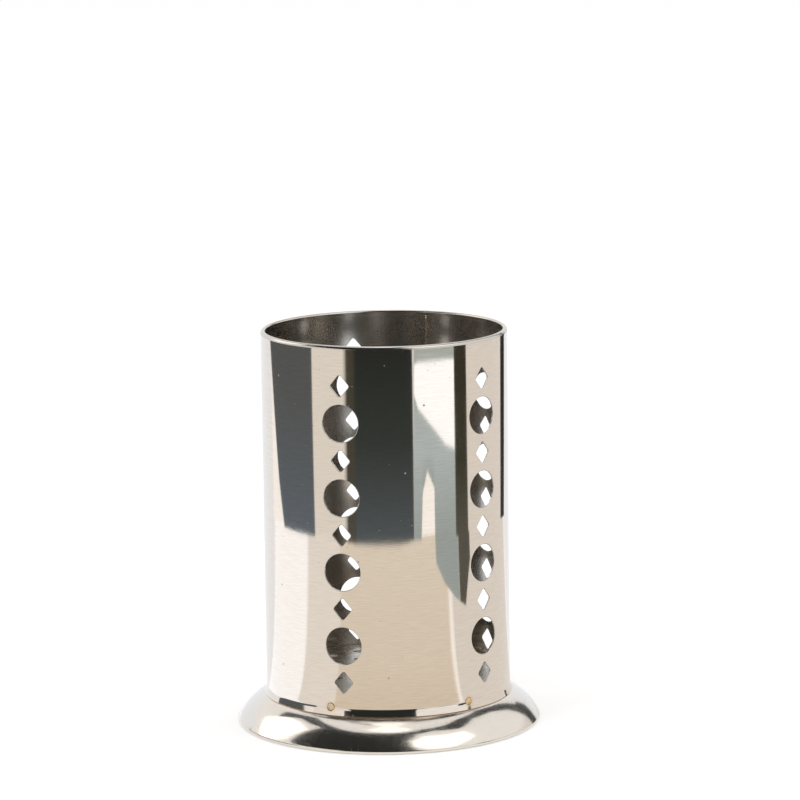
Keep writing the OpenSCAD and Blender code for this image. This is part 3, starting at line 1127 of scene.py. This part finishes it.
def satin_inner_steel(settings):
    """The inside of the tube: the same sheet with its duller mill finish."""
    look = settings.steel
    material, tree, shader, place = new_material("satin_inner_steel")
    brushing = use_group(tree, "Brushing", build_brushing, place, Lines=1100.0)
    specks = use_group(tree, "Specks", build_specks, place, Density=0.4)
    edge = new_node(tree, "ShaderNodeAttribute", attribute_name=EDGE_NAME)
    patches = noise(tree, place, 55.0, 3.0)
    colour = mix_colours(tree, patches, look.satin, darker(look.satin, 0.95))
    colour = mix_colours(tree, specks.outputs["Mask"], colour, darker(look.satin, 0.7))
    # Painted highlight: the cut edges get a pale colour that stands in for the bright rim that light makes on
    # the rounded punched edge.
    colour = mix_colours(tree, edge.outputs["Fac"], colour, (0.90, 0.88, 0.84))
    rough = uneven(tree, patches, 0.15, 0.18, brushing.outputs["Strokes"], 0.04)
    paint(tree, shader, colour, rough)
    stretch_round_axis(tree, shader, 0.6)
    stack_bumps(tree, shader, [(brushing.outputs["Height"], 1.0, 0.004 * MM)])
    return material


def ground_weld_steel(settings):
    """The butt weld: rippled, then ground nearly flush, with a trace of straw tint."""
    look = settings.steel
    material, tree, shader, place = new_material("ground_weld_steel")
    brushing = use_group(tree, "Brushing", build_brushing, place, Lines=900.0)
    ripple = new_node(
        tree, "ShaderNodeTexWave", {"Scale": 330.0, "Distortion": 2.5, "Detail": 2.0, "Detail Scale": 1.5},
        wave_type="BANDS", bands_direction="Z",
    )
    tree.links.new(place, ripple.inputs["Vector"])
    stains = noise(tree, place, 260.0, 3.0)
    colour = mix_colours(tree, stains, darker(look.polished, 0.8), darker(look.straw, 0.85))
    crests = arithmetic(tree, "MULTIPLY", ripple.outputs["Fac"], 0.35)
    colour = mix_colours(tree, crests, colour, look.polished)
    rough = uneven(tree, stains, 0.16, 0.3, brushing.outputs["Strokes"], 0.2)
    paint(tree, shader, colour, rough)
    stretch_round_axis(tree, shader, 0.5)
    stack_bumps(tree, shader, [
        (ripple.outputs["Fac"], 1.0, 0.02 * MM), (brushing.outputs["Height"], 1.0, 0.006 * MM),
    ])
    return material


def polished_base_steel(settings):
    """The pressed ring: polished over a fine orange peel that the press left."""
    look = settings.steel
    material, tree, shader, place = new_material("polished_base_steel")
    scratches = use_group(tree, "Scratches", build_scratches, place)
    specks = use_group(tree, "Specks", build_specks, place, Density=0.3)
    peel = noise(tree, place, 2600.0, 2.0, 0.6)
    swell = noise(tree, stretched(tree, place, (45, 45, 120)), 1.0, 1.0)
    patches = noise(tree, place, 60.0, 2.0)
    grain = remap(tree, noise(tree, place, 4200.0, 1.0), 0.3, 0.7)
    colour = mix_colours(tree, grain, darker(look.pressed, 0.9), darker(look.pressed, 1.06))
    colour = mix_colours(tree, specks.outputs["Mask"], colour, darker(look.satin, 0.6))
    rough = uneven(tree, patches, 0.075, 0.105, remap(tree, peel, 0.45, 0.7), 0.16)
    rough = arithmetic(tree, "ADD", rough, arithmetic(tree, "MULTIPLY", scratches.outputs["Mask"], 0.12))
    paint(tree, shader, colour, rough)
    stretch_round_axis(tree, shader, 0.3)
    stack_bumps(tree, shader, [
        (swell, 1.0, 0.02 * MM), (peel, 1.0, 0.0035 * MM), (scratches.outputs["Mask"], 0.5, 0.003 * MM),
    ])
    return material


def satin_floor_steel(settings):
    """The drain floor: satin sheet with straight brushing and water marks."""
    look = settings.steel
    material, tree, shader, place = new_material("satin_floor_steel")
    specks = use_group(tree, "Specks", build_specks, place, Density=1.2)
    lines = noise(tree, stretched(tree, place, (14, 1600, 14)), 1.0, 3.0, 0.65)
    patches = noise(tree, place, 70.0, 3.0)
    colour = mix_colours(tree, patches, look.satin, darker(look.satin, 0.86))
    colour = mix_colours(tree, specks.outputs["Mask"], colour, darker(look.satin, 0.6))
    rough = uneven(tree, patches, 0.24, 0.32, remap(tree, lines, 0.45, 0.7), 0.12)
    paint(tree, shader, colour, rough)
    stack_bumps(tree, shader, [(lines, 1.0, 0.006 * MM)])
    return material


def heat_tinted_steel(settings):
    """Spot-weld faces: patches of straw tint and grey steel, rougher where the steel is grey."""
    look = settings.steel
    material, tree, shader, place = new_material("heat_tinted_steel")
    stains = noise(tree, place, 900.0, 3.0, 0.6)
    grain = noise(tree, place, 3500.0, 2.0)
    colour = mix_colours(tree, remap(tree, stains, 0.35, 0.65), look.straw, darker(look.polished, 0.9))
    rough = remap(tree, stains, 0.3, 0.7, 0.16, 0.34)
    paint(tree, shader, colour, rough)
    stack_bumps(tree, shader, [(grain, 1.0, 0.008 * MM)])
    return material


def dress(made, node, material=None):
    """Rides a finished piece on the body, in place of its CAD node."""
    if material is not None:
        made.data.materials.clear()
        made.data.materials.append(material)
    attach(made, BODY)
    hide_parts(node)
    return made


# Pieces

def make_tube_wall(settings):
    """Punches one flat column, rolls five of them into the tube and caps the sheet at the seam."""
    tube, cutouts, welds = settings.tube, settings.cutouts, settings.welds
    column = PunchedColumn(tube, cutouts, welds)
    flat = column.build()
    made = evaluate_tree(flat, roll_tree(), {
        "Columns": cutouts.columns,
        "Radius": tube.radius,
        "Seam Angle": tube.seam_w / tube.radius,
        "Middle Azimuth": cutouts.first,
        "Outside": polished_tube_steel(settings),
        "Inside": satin_inner_steel(settings),
    }, "tube_wall_sheet")
    mesh = made.data
    slide_weld_holes(mesh, settings, column.weld_offset)
    for point, normal in zip(mesh.vertices, mesh.attributes[NORMAL_NAME].data):
        azimuth = math.atan2(point.co.x, -point.co.y)
        normal.vector = Matrix.Rotation(azimuth, 3, "Z") @ normal.vector
    wall_faces = len(mesh.polygons)
    shell = bmesh.new()
    shell.from_mesh(mesh)
    open_edges = [edge for edge in shell.edges if edge.is_boundary]
    bmesh.ops.holes_fill(shell, edges=open_edges, sides=0)
    shell.to_mesh(mesh)
    shell.free()
    finish_mesh(made, range(wall_faces, len(mesh.polygons)))
    return dress(made, "tube_wall")


def slide_weld_holes(mesh, settings, punched_offset):
    """Slides the punched weld holes round the tube, each to its own weld, and the sheet beside them less."""
    cutouts, welds = settings.cutouts, settings.welds
    top = welds.collar_z + PunchedColumn.WELD_HALF_H * welds.diameter + 0.01 * MM
    held, reach = math.radians(4), math.radians(26)
    slides = [
        (welds.collar_first + i * welds.collar_step - offset + punched_offset, offset - punched_offset)
        for i, offset in enumerate(weld_offsets(cutouts, welds))
    ]
    for point in mesh.vertices:
        if point.co.z > top:
            continue
        azimuth = math.atan2(point.co.x, -point.co.y)
        for punched, slide in slides:
            apart = abs(math.remainder(azimuth - punched, 2 * math.pi))
            share = min(1, max(0, (reach - apart) / (reach - held)))
            if share > 0:
                point.co = Matrix.Rotation(share * slide, 3, "Z") @ point.co


def seam_azimuth(settings):
    """Azimuth of the seam, midway between the two columns at the back."""
    return settings.cutouts.first + math.pi


def make_seam_weld(settings):
    """The strip of weld metal that closes the tube, with its rippled bead inside."""
    tube, floor = settings.tube, settings.floor
    ripple_pitch = 0.7 * MM
    per_ripple = 3
    rim = rim_face(tube)
    straight_h = rim[0][0].y - tube.foot_z
    row_count = round(straight_h / ripple_pitch) * per_ripple
    rows = [tube.foot_z + straight_h * i / row_count for i in range(row_count + 1)]
    face = [wall_face(tube, z) for z in rows] + rim[1:]
    section = closed_section(face, tube.sheet, tube.edge, level_start=True)
    turn = 0.98 * tube.seam_w / tube.radius
    start = seam_azimuth(settings) - turn / 2
    steps = 10
    made = lathe("seam_weld_bead", section, steps, start, turn)
    bead_low = floor.high_z + 0.4 * MM
    bead_high = rim[-1][0].y - 0.4 * MM
    bore_r = tube.radius - tube.sheet
    for point in made.data.vertices:
        reach = math.hypot(point.co.x, point.co.y)
        across = math.remainder(math.atan2(point.co.x, -point.co.y) - seam_azimuth(settings), 2 * math.pi)
        side = min(1, abs(across) / (turn / 2))
        if abs(reach - bore_r) > 0.01 * MM or not bead_low < point.co.z < bead_high:
            continue
        taper = min(1, (point.co.z - bead_low) / MM, (bead_high - point.co.z) / MM)
        phase = 2 * math.pi * (point.co.z / ripple_pitch + 0.6 * side * side)
        proud = tube.seam_proud * taper * (1 - side * side) * (0.84 + 0.14 * math.cos(phase))
        point.co.x *= (reach - proud) / reach
        point.co.y *= (reach - proud) / reach
    made.data.attributes.remove(made.data.attributes[NORMAL_NAME])
    made.data.shade_smooth()
    made.data.set_sharp_from_angle(angle=math.radians(50))
    return dress(made, "seam_weld", ground_weld_steel(settings))


def make_base_ring(settings):
    """The pressed ring: foot, flange, collar and ledge from one sheet."""
    base = settings.base
    section = closed_section(base_face(base, settings.tube), base.sheet, 0.1 * MM)
    made = finish_mesh(lathe("base_ring_pressing", section, 288))
    return dress(made, "base_ring", polished_base_steel(settings))


def make_drain_floor(settings):
    """The perforated floor, its edges rounded."""
    floor, welds = settings.floor, settings.welds
    blank = SheetMesh().to_object("floor_blank")
    made = evaluate_tree(blank, floor_tree(floor.rings), {
        "Radius": floor.radius,
        "Sheet": floor.high_z - floor.low_z,
        "Underside": floor.low_z,
        "Hole Radius": floor.hole_d / 2,
        "Ring Pitch": floor.ring_pitch,
        "Ring Step": floor.ring_step,
        "Weld Count": welds.floor_count,
        "Weld Reach": welds.floor_r,
        "Weld Radius": welds.diameter / 2,
        "Weld Azimuth": welds.floor_first,
        "Finish": satin_floor_steel(settings),
    }, "drain_floor_sheet")
    bevel = made.modifiers.new("Rounded Edges", "BEVEL")
    bevel.width = floor.edge
    bevel.segments = 2
    bevel.limit_method = "ANGLE"
    bevel.angle_limit = math.radians(40)
    bevel.harden_normals = True
    made.data.shade_smooth()
    graph = bpy.context.evaluated_depsgraph_get()
    made.data = bpy.data.meshes.new_from_object(made.evaluated_get(graph), depsgraph=graph)
    made.modifiers.clear()
    return dress(made, "drain_floor")


def weld_nugget(name, radius, depth, dimple, outward, origin):
    """One spot weld: a dimpled face with a raised ring, a plain shank and a shallow dome behind."""
    face = [(0, dimple), (0.3, dimple), (0.5, 0.85 * dimple), (0.66, 0.45 * dimple), (0.78, 0.12 * dimple),
            (0.86, 0.02 * dimple), (0.93, 0.15 * dimple), (0.985, 0.6 * dimple), (0.995, depth)]
    back = [(0.7, depth + 0.035 * MM), (0.35, depth + 0.055 * MM), (0, depth + 0.06 * MM)]
    profile = [(share * radius, down) for share, down in face + back]
    steps = 40
    side = outward.orthogonal().normalized()
    other = outward.cross(side)
    mesh = bmesh.new()
    rings = []
    for reach, down in profile:
        centre = origin - outward * down
        if reach == 0:
            rings.append([mesh.verts.new(centre)])
            continue
        turns = [2 * math.pi * k / steps for k in range(steps)]
        rays = [side * math.cos(turn) + other * math.sin(turn) for turn in turns]
        rings.append([mesh.verts.new(centre + reach * ray) for ray in rays])
    for near, far in zip(rings, rings[1:]):
        for k in range(steps):
            after = (k + 1) % steps
            corners = [near[k % len(near)], far[k % len(far)], far[after % len(far)], near[after % len(near)]]
            mesh.faces.new(list(dict.fromkeys(corners)))
    bmesh.ops.recalc_face_normals(mesh, faces=mesh.faces)
    data = bpy.data.meshes.new(name)
    mesh.to_mesh(data)
    mesh.free()
    data.shade_smooth()
    data.set_sharp_from_angle(angle=math.radians(60))
    return link_object(name, data)


def make_spot_welds(settings):
    """The two rings of spot welds: tube to collar, and floor to ledge."""
    tube, base, floor, welds = settings.tube, settings.base, settings.floor, settings.welds
    tree = ring_tree()
    finish = heat_tinted_steel(settings)
    front = Vector((0, -1, 0))
    up = Vector((0, 0, 1))
    collar_depth = tube.sheet + base.collar_gap + base.sheet
    collar_nugget = weld_nugget(
        "collar_nugget", welds.diameter / 2, collar_depth, welds.dimple, front,
        front * tube.radius + up * welds.collar_z,
    )
    collar = evaluate_tree(collar_nugget, tree, {
        "Count": welds.collar_count, "Step": welds.collar_step, "First Azimuth": welds.collar_first,
        "Finish": finish,
    }, "collar_weld_nuggets")
    dress(collar, "collar_spot_welds")
    floor_depth = floor.high_z - floor.low_z + base.sheet
    floor_nugget = weld_nugget(
        "floor_nugget", welds.diameter / 2, floor_depth, welds.dimple, up,
        front * welds.floor_r + up * floor.high_z,
    )
    floor_ring = evaluate_tree(floor_nugget, tree, {
        "Count": welds.floor_count, "Step": 2 * math.pi / welds.floor_count,
        "First Azimuth": welds.floor_first, "Finish": finish,
    }, "floor_weld_nuggets")
    dress(floor_ring, "floor_spot_welds")


# Stage

def empty_tree(owner):
    """The node tree of a material or a world, with nothing in it."""
    owner.use_nodes = True
    owner.node_tree.nodes.clear()
    return owner.node_tree


def shown_directly(tree):
    """1 for what the camera sees straight, in a mirror or through glass, and 0 for all other light."""
    seen = new_node(tree, "ShaderNodeLightPath")
    direct = arithmetic(tree, "MAXIMUM", seen.outputs["Is Camera Ray"], seen.outputs["Is Glossy Ray"])
    return arithmetic(tree, "MAXIMUM", direct, seen.outputs["Is Transmission Ray"])


def glow_material():
    """A surface that shines in each corner's own colour and fades out where its cover falls to 0."""
    material = bpy.data.materials.new("screen_glow")
    tree = empty_tree(material)
    corner_glow = new_node(tree, "ShaderNodeAttribute", attribute_name="glow")
    clear = new_node(tree, "ShaderNodeBsdfTransparent")
    glow = new_node(tree, "ShaderNodeEmission")
    cover = new_node(tree, "ShaderNodeMixShader")
    result = new_node(tree, "ShaderNodeOutputMaterial")
    wire(
        tree,
        (corner_glow.outputs["Color"], glow.inputs["Color"]), (corner_glow.outputs["Alpha"], cover.inputs[0]),
        (clear.outputs[0], cover.inputs[1]), (glow.outputs[0], cover.inputs[2]),
        (cover.outputs[0], result.inputs["Surface"]),
    )
    return material


def screen(name, place, rows, fade, material):
    """A curved screen that only mirrors show.

    Each row is (colour, cover, corners), and a corner is (azimuth in degrees, second value). The
    colour blends from row to row, and the cover fades to 0 over an angle beyond both ends of a row.
    """
    strip = 3
    points, glow = [], []
    widened = [
        [(corners[0][0] - fade, corners[0][1]), *corners, (corners[-1][0] + fade, corners[-1][1])]
        for _, _, corners in rows
    ]
    last_span = len(widened[0]) - 2
    widths = [
        max(1, math.ceil(max(abs(corners[j + 1][0] - corners[j][0]) for corners in widened) / strip))
        for j in range(last_span + 1)
    ]
    for (colour, cover, _), corners in zip(rows, widened):
        for j, width in enumerate(widths):
            (a0, b0), (a1, b1) = corners[j], corners[j + 1]
            for i in range(width + (j == last_span)):
                share = i / width
                at_end = j + i == 0 or (j, i) == (last_span, width)
                points.append(place(math.radians(a0 + (a1 - a0) * share), b0 + (b1 - b0) * share))
                glow.extend((*colour, 0.0 if at_end else cover))
    across = sum(widths) + 1
    faces = [
        (k, k + 1, k + across + 1, k + across)
        for row in range(len(rows) - 1) for k in range(row * across, (row + 1) * across - 1)
    ]
    mesh = bpy.data.meshes.new(name)
    mesh.from_pydata(points, [], faces)
    mesh.attributes.new("glow", "FLOAT_COLOR", "POINT").data.foreach_set("color", glow)
    mesh.materials.append(material)
    made = link_object(name, mesh)
    made.visible_camera = False
    made.visible_diffuse = False
    made.visible_shadow = False
    return made


def level(value, *azimuths):
    """Corners of a level row."""
    return [(azimuth, value) for azimuth in azimuths]


def patch_on_floor(colour, left, right, near=0.08):
    """Rows of a patch of floor in one colour, from beside the foot out to the screens."""
    rows = ((0.066, 0), (near, 1), (0.46, 1))
    return [(colour, cover, level(distance, left, right)) for distance, cover in rows]


def patch_on_wall(colour, left, right, full_h=0.11, clear_h=0.16):
    """Rows of a wall in one colour that fades out at its top."""
    rows = ((0, 1), (full_h, 1), (clear_h, 0))
    return [(colour, cover, level(height, left, right)) for height, cover in rows]


def make_screens(stage):
    """The dark and bright screens round the object, as azimuth with height, distance or elevation."""
    material = glow_material()

    def wall_at(share):
        reach = share * stage.screen_r
        return lambda azimuth, height: (reach * math.sin(azimuth), -reach * math.cos(azimuth), height)

    def floor_at(height):
        return lambda azimuth, reach: (reach * math.sin(azimuth), -reach * math.cos(azimuth), height)

    def dome_at(share):
        def place(azimuth, elevation):
            rise = math.radians(elevation)
            reach = share * stage.dome_r * math.cos(rise)
            high = share * stage.dome_r * math.sin(rise)
            return reach * math.sin(azimuth), -reach * math.cos(azimuth), high
        return place

    farther, upright, nearer = wall_at(1.02), wall_at(1.0), wall_at(0.99)
    low_on_floor, mid_on_floor, on_floor = (floor_at(height * MM) for height in (0.2, 0.3, 0.4))
    overhead, under_dome = dome_at(1.0), dome_at(0.97)
    cream, black = (1.75, 1.72, 1.66), (0.028, 0.030, 0.030)
    low_slate, slate, high_slate = (0.386, 0.455, 0.47), (0.52, 0.61, 0.655), (0.45, 0.515, 0.51)
    pale, right_pale, line = (0.87, 0.85, 0.81), (0.84, 0.82, 0.79), (0.11, 0.11, 0.092)
    bright, brown = (1.3, 1.38, 1.46), (0.084, 0.077, 0.054)
    left_pale, strip_pale, back_pale = (1.2, 1.25, 1.32), (0.91, 0.90, 0.87), (0.96, 1.0, 1.06)
    for name, place, fade, rows in (
        ("front_floor_patch", low_on_floor, 12, [
            ((0.77, 0.68, 0.57), 0, level(0.066, -40, 44)), ((0.77, 0.68, 0.57), 1, level(0.08, -40, 44)),
            ((0.82, 0.76, 0.66), 1, level(0.2, -40, 44)), ((0.85, 0.80, 0.71), 1, level(0.46, -40, 44)),
        ]),
        ("right_floor_patch", low_on_floor, 6, patch_on_floor(right_pale, 62, 132)),
        ("left_floor_patch", low_on_floor, 14, patch_on_floor(left_pale, -112, -82)),
        ("strip_floor_patch", mid_on_floor, 8, patch_on_floor(strip_pale, -68, -48)),
        ("back_floor_patch", low_on_floor, 8, patch_on_floor(back_pale, 146, 230, 0.09)),
        ("back_patch", farther, 6, patch_on_wall(back_pale, 146, 230, 0.12, 0.2)),
        ("pale_strip", farther, 1, patch_on_wall(pale, -70, -30)),
        ("right_pale", farther, 2, patch_on_wall(right_pale, 76, 134)),
        ("left_dark", upright, 1.2, [
            ((0.13, 0.165, 0.21), 1, level(0, -105, -67)),
            ((0.125, 0.15, 0.18), 1, [(-113, 0.0245), (-67.5, 0.0245)]),
            ((0.11, 0.125, 0.135), 1, [(-121, 0.066), (-68, 0.066)]),
            ((0.105, 0.118, 0.12), 1, [(-127, 0.1), (-68, 0.1)]),
            ((0.105, 0.118, 0.12), 0, [(-128, 0.104), (-68, 0.104)]),
        ]),
        ("centre_dark_foot", on_floor, 1.2, [
            ((0.094, 0.119, 0.137), 0, [(-33, 0.444), (-28, 0.436), (10, 0.436), (19, 0.442), (23.5, 0.45)]),
            ((0.094, 0.119, 0.137), 1, [(-33, 0.451), (-28, 0.45), (10, 0.45), (19, 0.45), (23.5, 0.453)]),
        ]),
        ("centre_dark", upright, 1, [
            ((0.094, 0.119, 0.137), 1, level(0, -33.5, 24)),
            ((0.068, 0.083, 0.09), 1, level(0.025, -33.5, 24)),
            ((0.043, 0.052, 0.051), 1, level(0.05, -33.5, 24)),
            ((0.025, 0.029, 0.027), 1, level(0.1, -33.5, 24)),
            ((0.025, 0.029, 0.027), 1, level(0.5, -33.5, 22)),
        ]),
        ("brown_edge", nearer, 3, [(brown, 0.7, level(0, -34, -28)), (brown, 0.7, level(0.1, -34, -28))]),
        ("slate", upright, 0.8, [
            (low_slate, 1, [(25, 0), (31, 0), (32.5, 0.024), (37, 0.035), (43.4, 0.026), (43.6, 0), (66, 0)]),
            (slate, 1, level(0.045, 25, 31, 32.5, 37, 43.4, 43.6, 66)),
            (high_slate, 1, level(0.1, 26, 31, 32.5, 37, 43.4, 43.6, 66)),
            (high_slate, 0, level(0.103, 26, 31, 32.5, 37, 43.4, 43.6, 66)),
        ]),
        ("bright_shape", nearer, 0.5, [
            (bright, 1, [(25.8, 0.0745), (29, 0.0678), (40, 0.0593), (55.3, 0.0476), (63.8, 0.045)]),
            (bright, 1, [(26.2, 0.090), (29, 0.091), (40, 0.091), (55.3, 0.091), (63.8, 0.0905)]),
        ]),
        ("right_line", nearer, 0.8, [
            (line, 1, level(0, 65, 78)), ((0.05, 0.05, 0.036), 1, level(0.04, 64.8, 77.5)),
            ((0.042, 0.038, 0.027), 1, level(0.11, 64.5, 77)),
        ]),
        ("near_slate", on_floor, 0.8, [
            (low_slate, 1, [(44, 0.45), (52, 0.45), (62, 0.45), (66, 0.45)]),
            (low_slate, 1, [(44.5, 0.387), (52, 0.34), (62, 0.305), (66, 0.296)]),
        ]),
        ("near_line", on_floor, 0.8, [
            (line, 1, [(67, 0.45), (72.3, 0.45), (79, 0.45)]),
            (line, 1, [(66.5, 0.295), (72.3, 0.283), (79, 0.38)]),
        ]),
        ("black_line", nearer, 0.8, [
            ((0.05, 0.05, 0.05), 1, level(0, 130, 139)), (black, 1, level(0.1, 133.5, 145)),
            (black, 1, level(0.17, 135, 145)),
        ]),
        ("high_ring", overhead, 0.5, [
            (black, 1, [
                (-132, 36), (-127, 50), (-103, 58.5), (-65, 65), (-26, 72), (23, 72), (70, 68),
                (95, 60), (119, 54), (134, 42), (138, 30), (138, 18), (135, 6),
            ]),
            ((0.06, 0.07, 0.08), 1, [
                (-140, 40), (-131, 57), (-103, 65), (-65, 71.5), (-26, 76.5), (23, 76.5), (70, 74),
                (95, 66.5), (119, 61), (140, 48), (147, 33), (147, 20), (143, 6),
            ]),
        ]),
        ("high_dark", overhead, 0.5, [
            (black, 1, [(-93, 45), (-89, 34), (-60, 28), (-34, 15), (22, 15)]),
            (black, 1, [(-98, 60), (-80, 58), (-60, 60), (-34, 60), (21, 52)]),
            (black, 1, [(-103, 64), (-85, 67), (-65, 70), (-26, 75.5), (23, 75.5)]),
        ]),
        ("high_right", overhead, 0.5, [
            (black, 1, [(23, 62), (42, 70), (70, 69), (91, 57), (119, 53)]),
            (black, 1, [(23, 75), (42, 75), (70, 74), (95, 67), (119, 61)]),
        ]),
        ("back_line", under_dome, 1, [
            ((0.1, 0.1, 0.1), 1, [(-60, 96.5), (-30, 99.5), (0, 100.3), (30, 99.5), (60, 96.5)]),
            ((0.1, 0.1, 0.1), 1, [(-60, 98.5), (-30, 101.5), (0, 102.3), (30, 101.5), (60, 98.5)]),
        ]),
        ("left_softbox", under_dome, 1, [
            (cream, 1, [(-134, 27), (-112, 15), (-95, 33)]), (cream, 1, [(-128, 44), (-118, 50), (-97, 52)]),
        ]),
        ("right_softbox", under_dome, 1, [
            (cream, 1, [(24, 51), (46, 40), (84, 43)]), (cream, 1, [(26, 60), (46, 65), (87, 53)]),
        ]),
        ("top_softbox", overhead, 1, [
            (cream, 1, [(-60, 78), (-26, 78), (23, 78), (60, 78)]),
            (cream, 1, [(-60, 96), (-26, 98.7), (23, 98.7), (60, 96)]),
        ]),
    ):
        screen(name, place, rows, fade, material)


def make_floor(stage):
    """A pale matte floor that keeps the shadow and looks white where nothing shades it."""
    mesh = bpy.data.meshes.new("pale_floor")
    sides = 96
    turns = [2 * math.pi * k / sides for k in range(sides)]
    points = [(stage.floor_r * math.cos(turn), stage.floor_r * math.sin(turn), 0) for turn in turns]
    mesh.from_pydata(points, [], [tuple(range(sides))])
    made = link_object("pale_floor", mesh)
    material = bpy.data.materials.new("pale_floor")
    tree = empty_tree(material)
    matte = new_node(tree, "ShaderNodeBsdfDiffuse", {"Color": (0.80, 0.80, 0.80, 1)})
    glow = new_node(tree, "ShaderNodeEmission", {"Color": (1, 1, 1, 1)})
    floor_glow = arithmetic(tree, "MULTIPLY", shown_directly(tree), 0.25)
    total = new_node(tree, "ShaderNodeAddShader")
    result = new_node(tree, "ShaderNodeOutputMaterial")
    wire(
        tree,
        (floor_glow, glow.inputs["Strength"]),
        (matte.outputs[0], total.inputs[0]), (glow.outputs[0], total.inputs[1]),
        (total.outputs[0], result.inputs["Surface"]),
    )
    mesh.materials.append(material)
    return made


def make_world(stage):
    """White surroundings for the camera and the mirrors, and a softer light for matte surfaces."""
    world = bpy.data.worlds.new("pale_surroundings")
    bpy.context.scene.world = world
    tree = empty_tree(world)
    brighter = arithmetic(tree, "MULTIPLY", shown_directly(tree), stage.pale - stage.ambient)
    strength = arithmetic(tree, "ADD", brighter, stage.ambient)
    background = new_node(tree, "ShaderNodeBackground", {"Color": (1, 1, 1, 1)})
    result = new_node(tree, "ShaderNodeOutputWorld")
    wire(tree, (strength, background.inputs["Strength"]), (background.outputs[0], result.inputs["Surface"]))


def make_lamp(name, place, size, power):
    """A square soft lamp that points at the middle of the object and that mirrors don't show."""
    lamp = bpy.data.lights.new(name, "AREA")
    lamp.size = size
    lamp.energy = power
    made = link_object(name, lamp)
    made.location = place
    made.rotation_euler = (Vector((0, 0, 0.08)) - Vector(place)).to_track_quat("-Z", "Y").to_euler()
    made.visible_glossy = False


def make_camera(stage):
    """The camera at the photograph's place."""
    camera = bpy.data.cameras.new("photo_camera")
    camera.sensor_fit = "HORIZONTAL"
    camera.sensor_width = 36
    camera.lens = stage.lens
    camera.clip_end = 50
    made = link_object("photo_camera", camera)
    pitch, roll, yaw = stage.pitch, stage.roll, stage.yaw
    forward = Vector((math.sin(yaw) * math.cos(pitch), math.cos(yaw) * math.cos(pitch), -math.sin(pitch)))
    right = Vector((math.cos(yaw), -math.sin(yaw), 0))
    up = right.cross(forward)
    turned_right = math.cos(roll) * right + math.sin(roll) * up
    turned_up = math.cos(roll) * up - math.sin(roll) * right
    turn = Matrix((turned_right, turned_up, -forward)).transposed()
    made.matrix_world = Matrix.Translation((0, -stage.distance, stage.height)) @ turn.to_4x4()
    bpy.context.scene.camera = made


def make_stage(settings):
    """The floor, the light, the screens and the camera."""
    stage = settings.stage
    make_world(stage)
    make_floor(stage)
    make_screens(stage)
    make_lamp("left_lamp", (-1.3, -0.9, 1.7), 1.2, 11)
    make_lamp("right_lamp", (1.5, -0.5, 1.5), 1.2, 6)
    make_camera(stage)
    bpy.context.scene.view_settings.view_transform = "Standard"


# Operators and panel

class HolderOperator:
    """Runs one of the making functions on the scene's settings."""

    bl_options = {"REGISTER", "UNDO"}
    make = None

    def execute(self, context):
        """Makes the pieces."""
        type(self).make(context.scene.chopstick_holder)
        return {"FINISHED"}


class HOLDER_OT_tube_wall(HolderOperator, bpy.types.Operator):
    """Make the punched and rolled tube"""

    bl_idname = "holder.tube_wall"
    bl_label = "Tube Wall"
    make = make_tube_wall


class HOLDER_OT_seam_weld(HolderOperator, bpy.types.Operator):
    """Make the butt weld that closes the tube"""

    bl_idname = "holder.seam_weld"
    bl_label = "Seam Weld"
    make = make_seam_weld


class HOLDER_OT_base_ring(HolderOperator, bpy.types.Operator):
    """Make the pressed base ring"""

    bl_idname = "holder.base_ring"
    bl_label = "Base Ring"
    make = make_base_ring


class HOLDER_OT_drain_floor(HolderOperator, bpy.types.Operator):
    """Make the perforated drain floor"""

    bl_idname = "holder.drain_floor"
    bl_label = "Drain Floor"
    make = make_drain_floor


class HOLDER_OT_spot_welds(HolderOperator, bpy.types.Operator):
    """Make the spot welds of the collar and the floor"""

    bl_idname = "holder.spot_welds"
    bl_label = "Spot Welds"
    make = make_spot_welds


class HOLDER_OT_stage(HolderOperator, bpy.types.Operator):
    """Make the floor, the light and the camera"""

    bl_idname = "holder.stage"
    bl_label = "Stage"
    make = make_stage


OPERATORS = (
    HOLDER_OT_tube_wall, HOLDER_OT_seam_weld, HOLDER_OT_base_ring,
    HOLDER_OT_drain_floor, HOLDER_OT_spot_welds, HOLDER_OT_stage,
)


class HOLDER_PT_panel(bpy.types.Panel):
    """Lists the pieces of the chopstick holder."""

    bl_label = "Chopstick Holder"
    bl_space_type = "VIEW_3D"
    bl_region_type = "UI"
    bl_category = "Holder"

    def draw(self, context):
        """Draws a button for each piece and the stage."""
        for operator in OPERATORS:
            self.layout.operator(operator.bl_idname)


CLASSES = (
    TubeSizes, CutoutSizes, BaseSizes, FloorSizes, WeldSizes, SteelLook, StageLook, HolderSettings,
    *OPERATORS, HOLDER_PT_panel,
)


def register():
    """Registers the classes and the scene's settings."""
    for entry in CLASSES:
        bpy.utils.register_class(entry)
    bpy.types.Scene.chopstick_holder = bpy.props.PointerProperty(type=HolderSettings)


def unregister():
    """Removes the settings and the classes."""
    del bpy.types.Scene.chopstick_holder
    for entry in reversed(CLASSES):
        bpy.utils.unregister_class(entry)


def main():
    register()
    bpy.ops.holder.tube_wall()
    bpy.ops.holder.seam_weld()
    bpy.ops.holder.base_ring()
    bpy.ops.holder.drain_floor()
    bpy.ops.holder.spot_welds()
    bpy.ops.holder.stage()


if __name__ == "__main__":
    main()
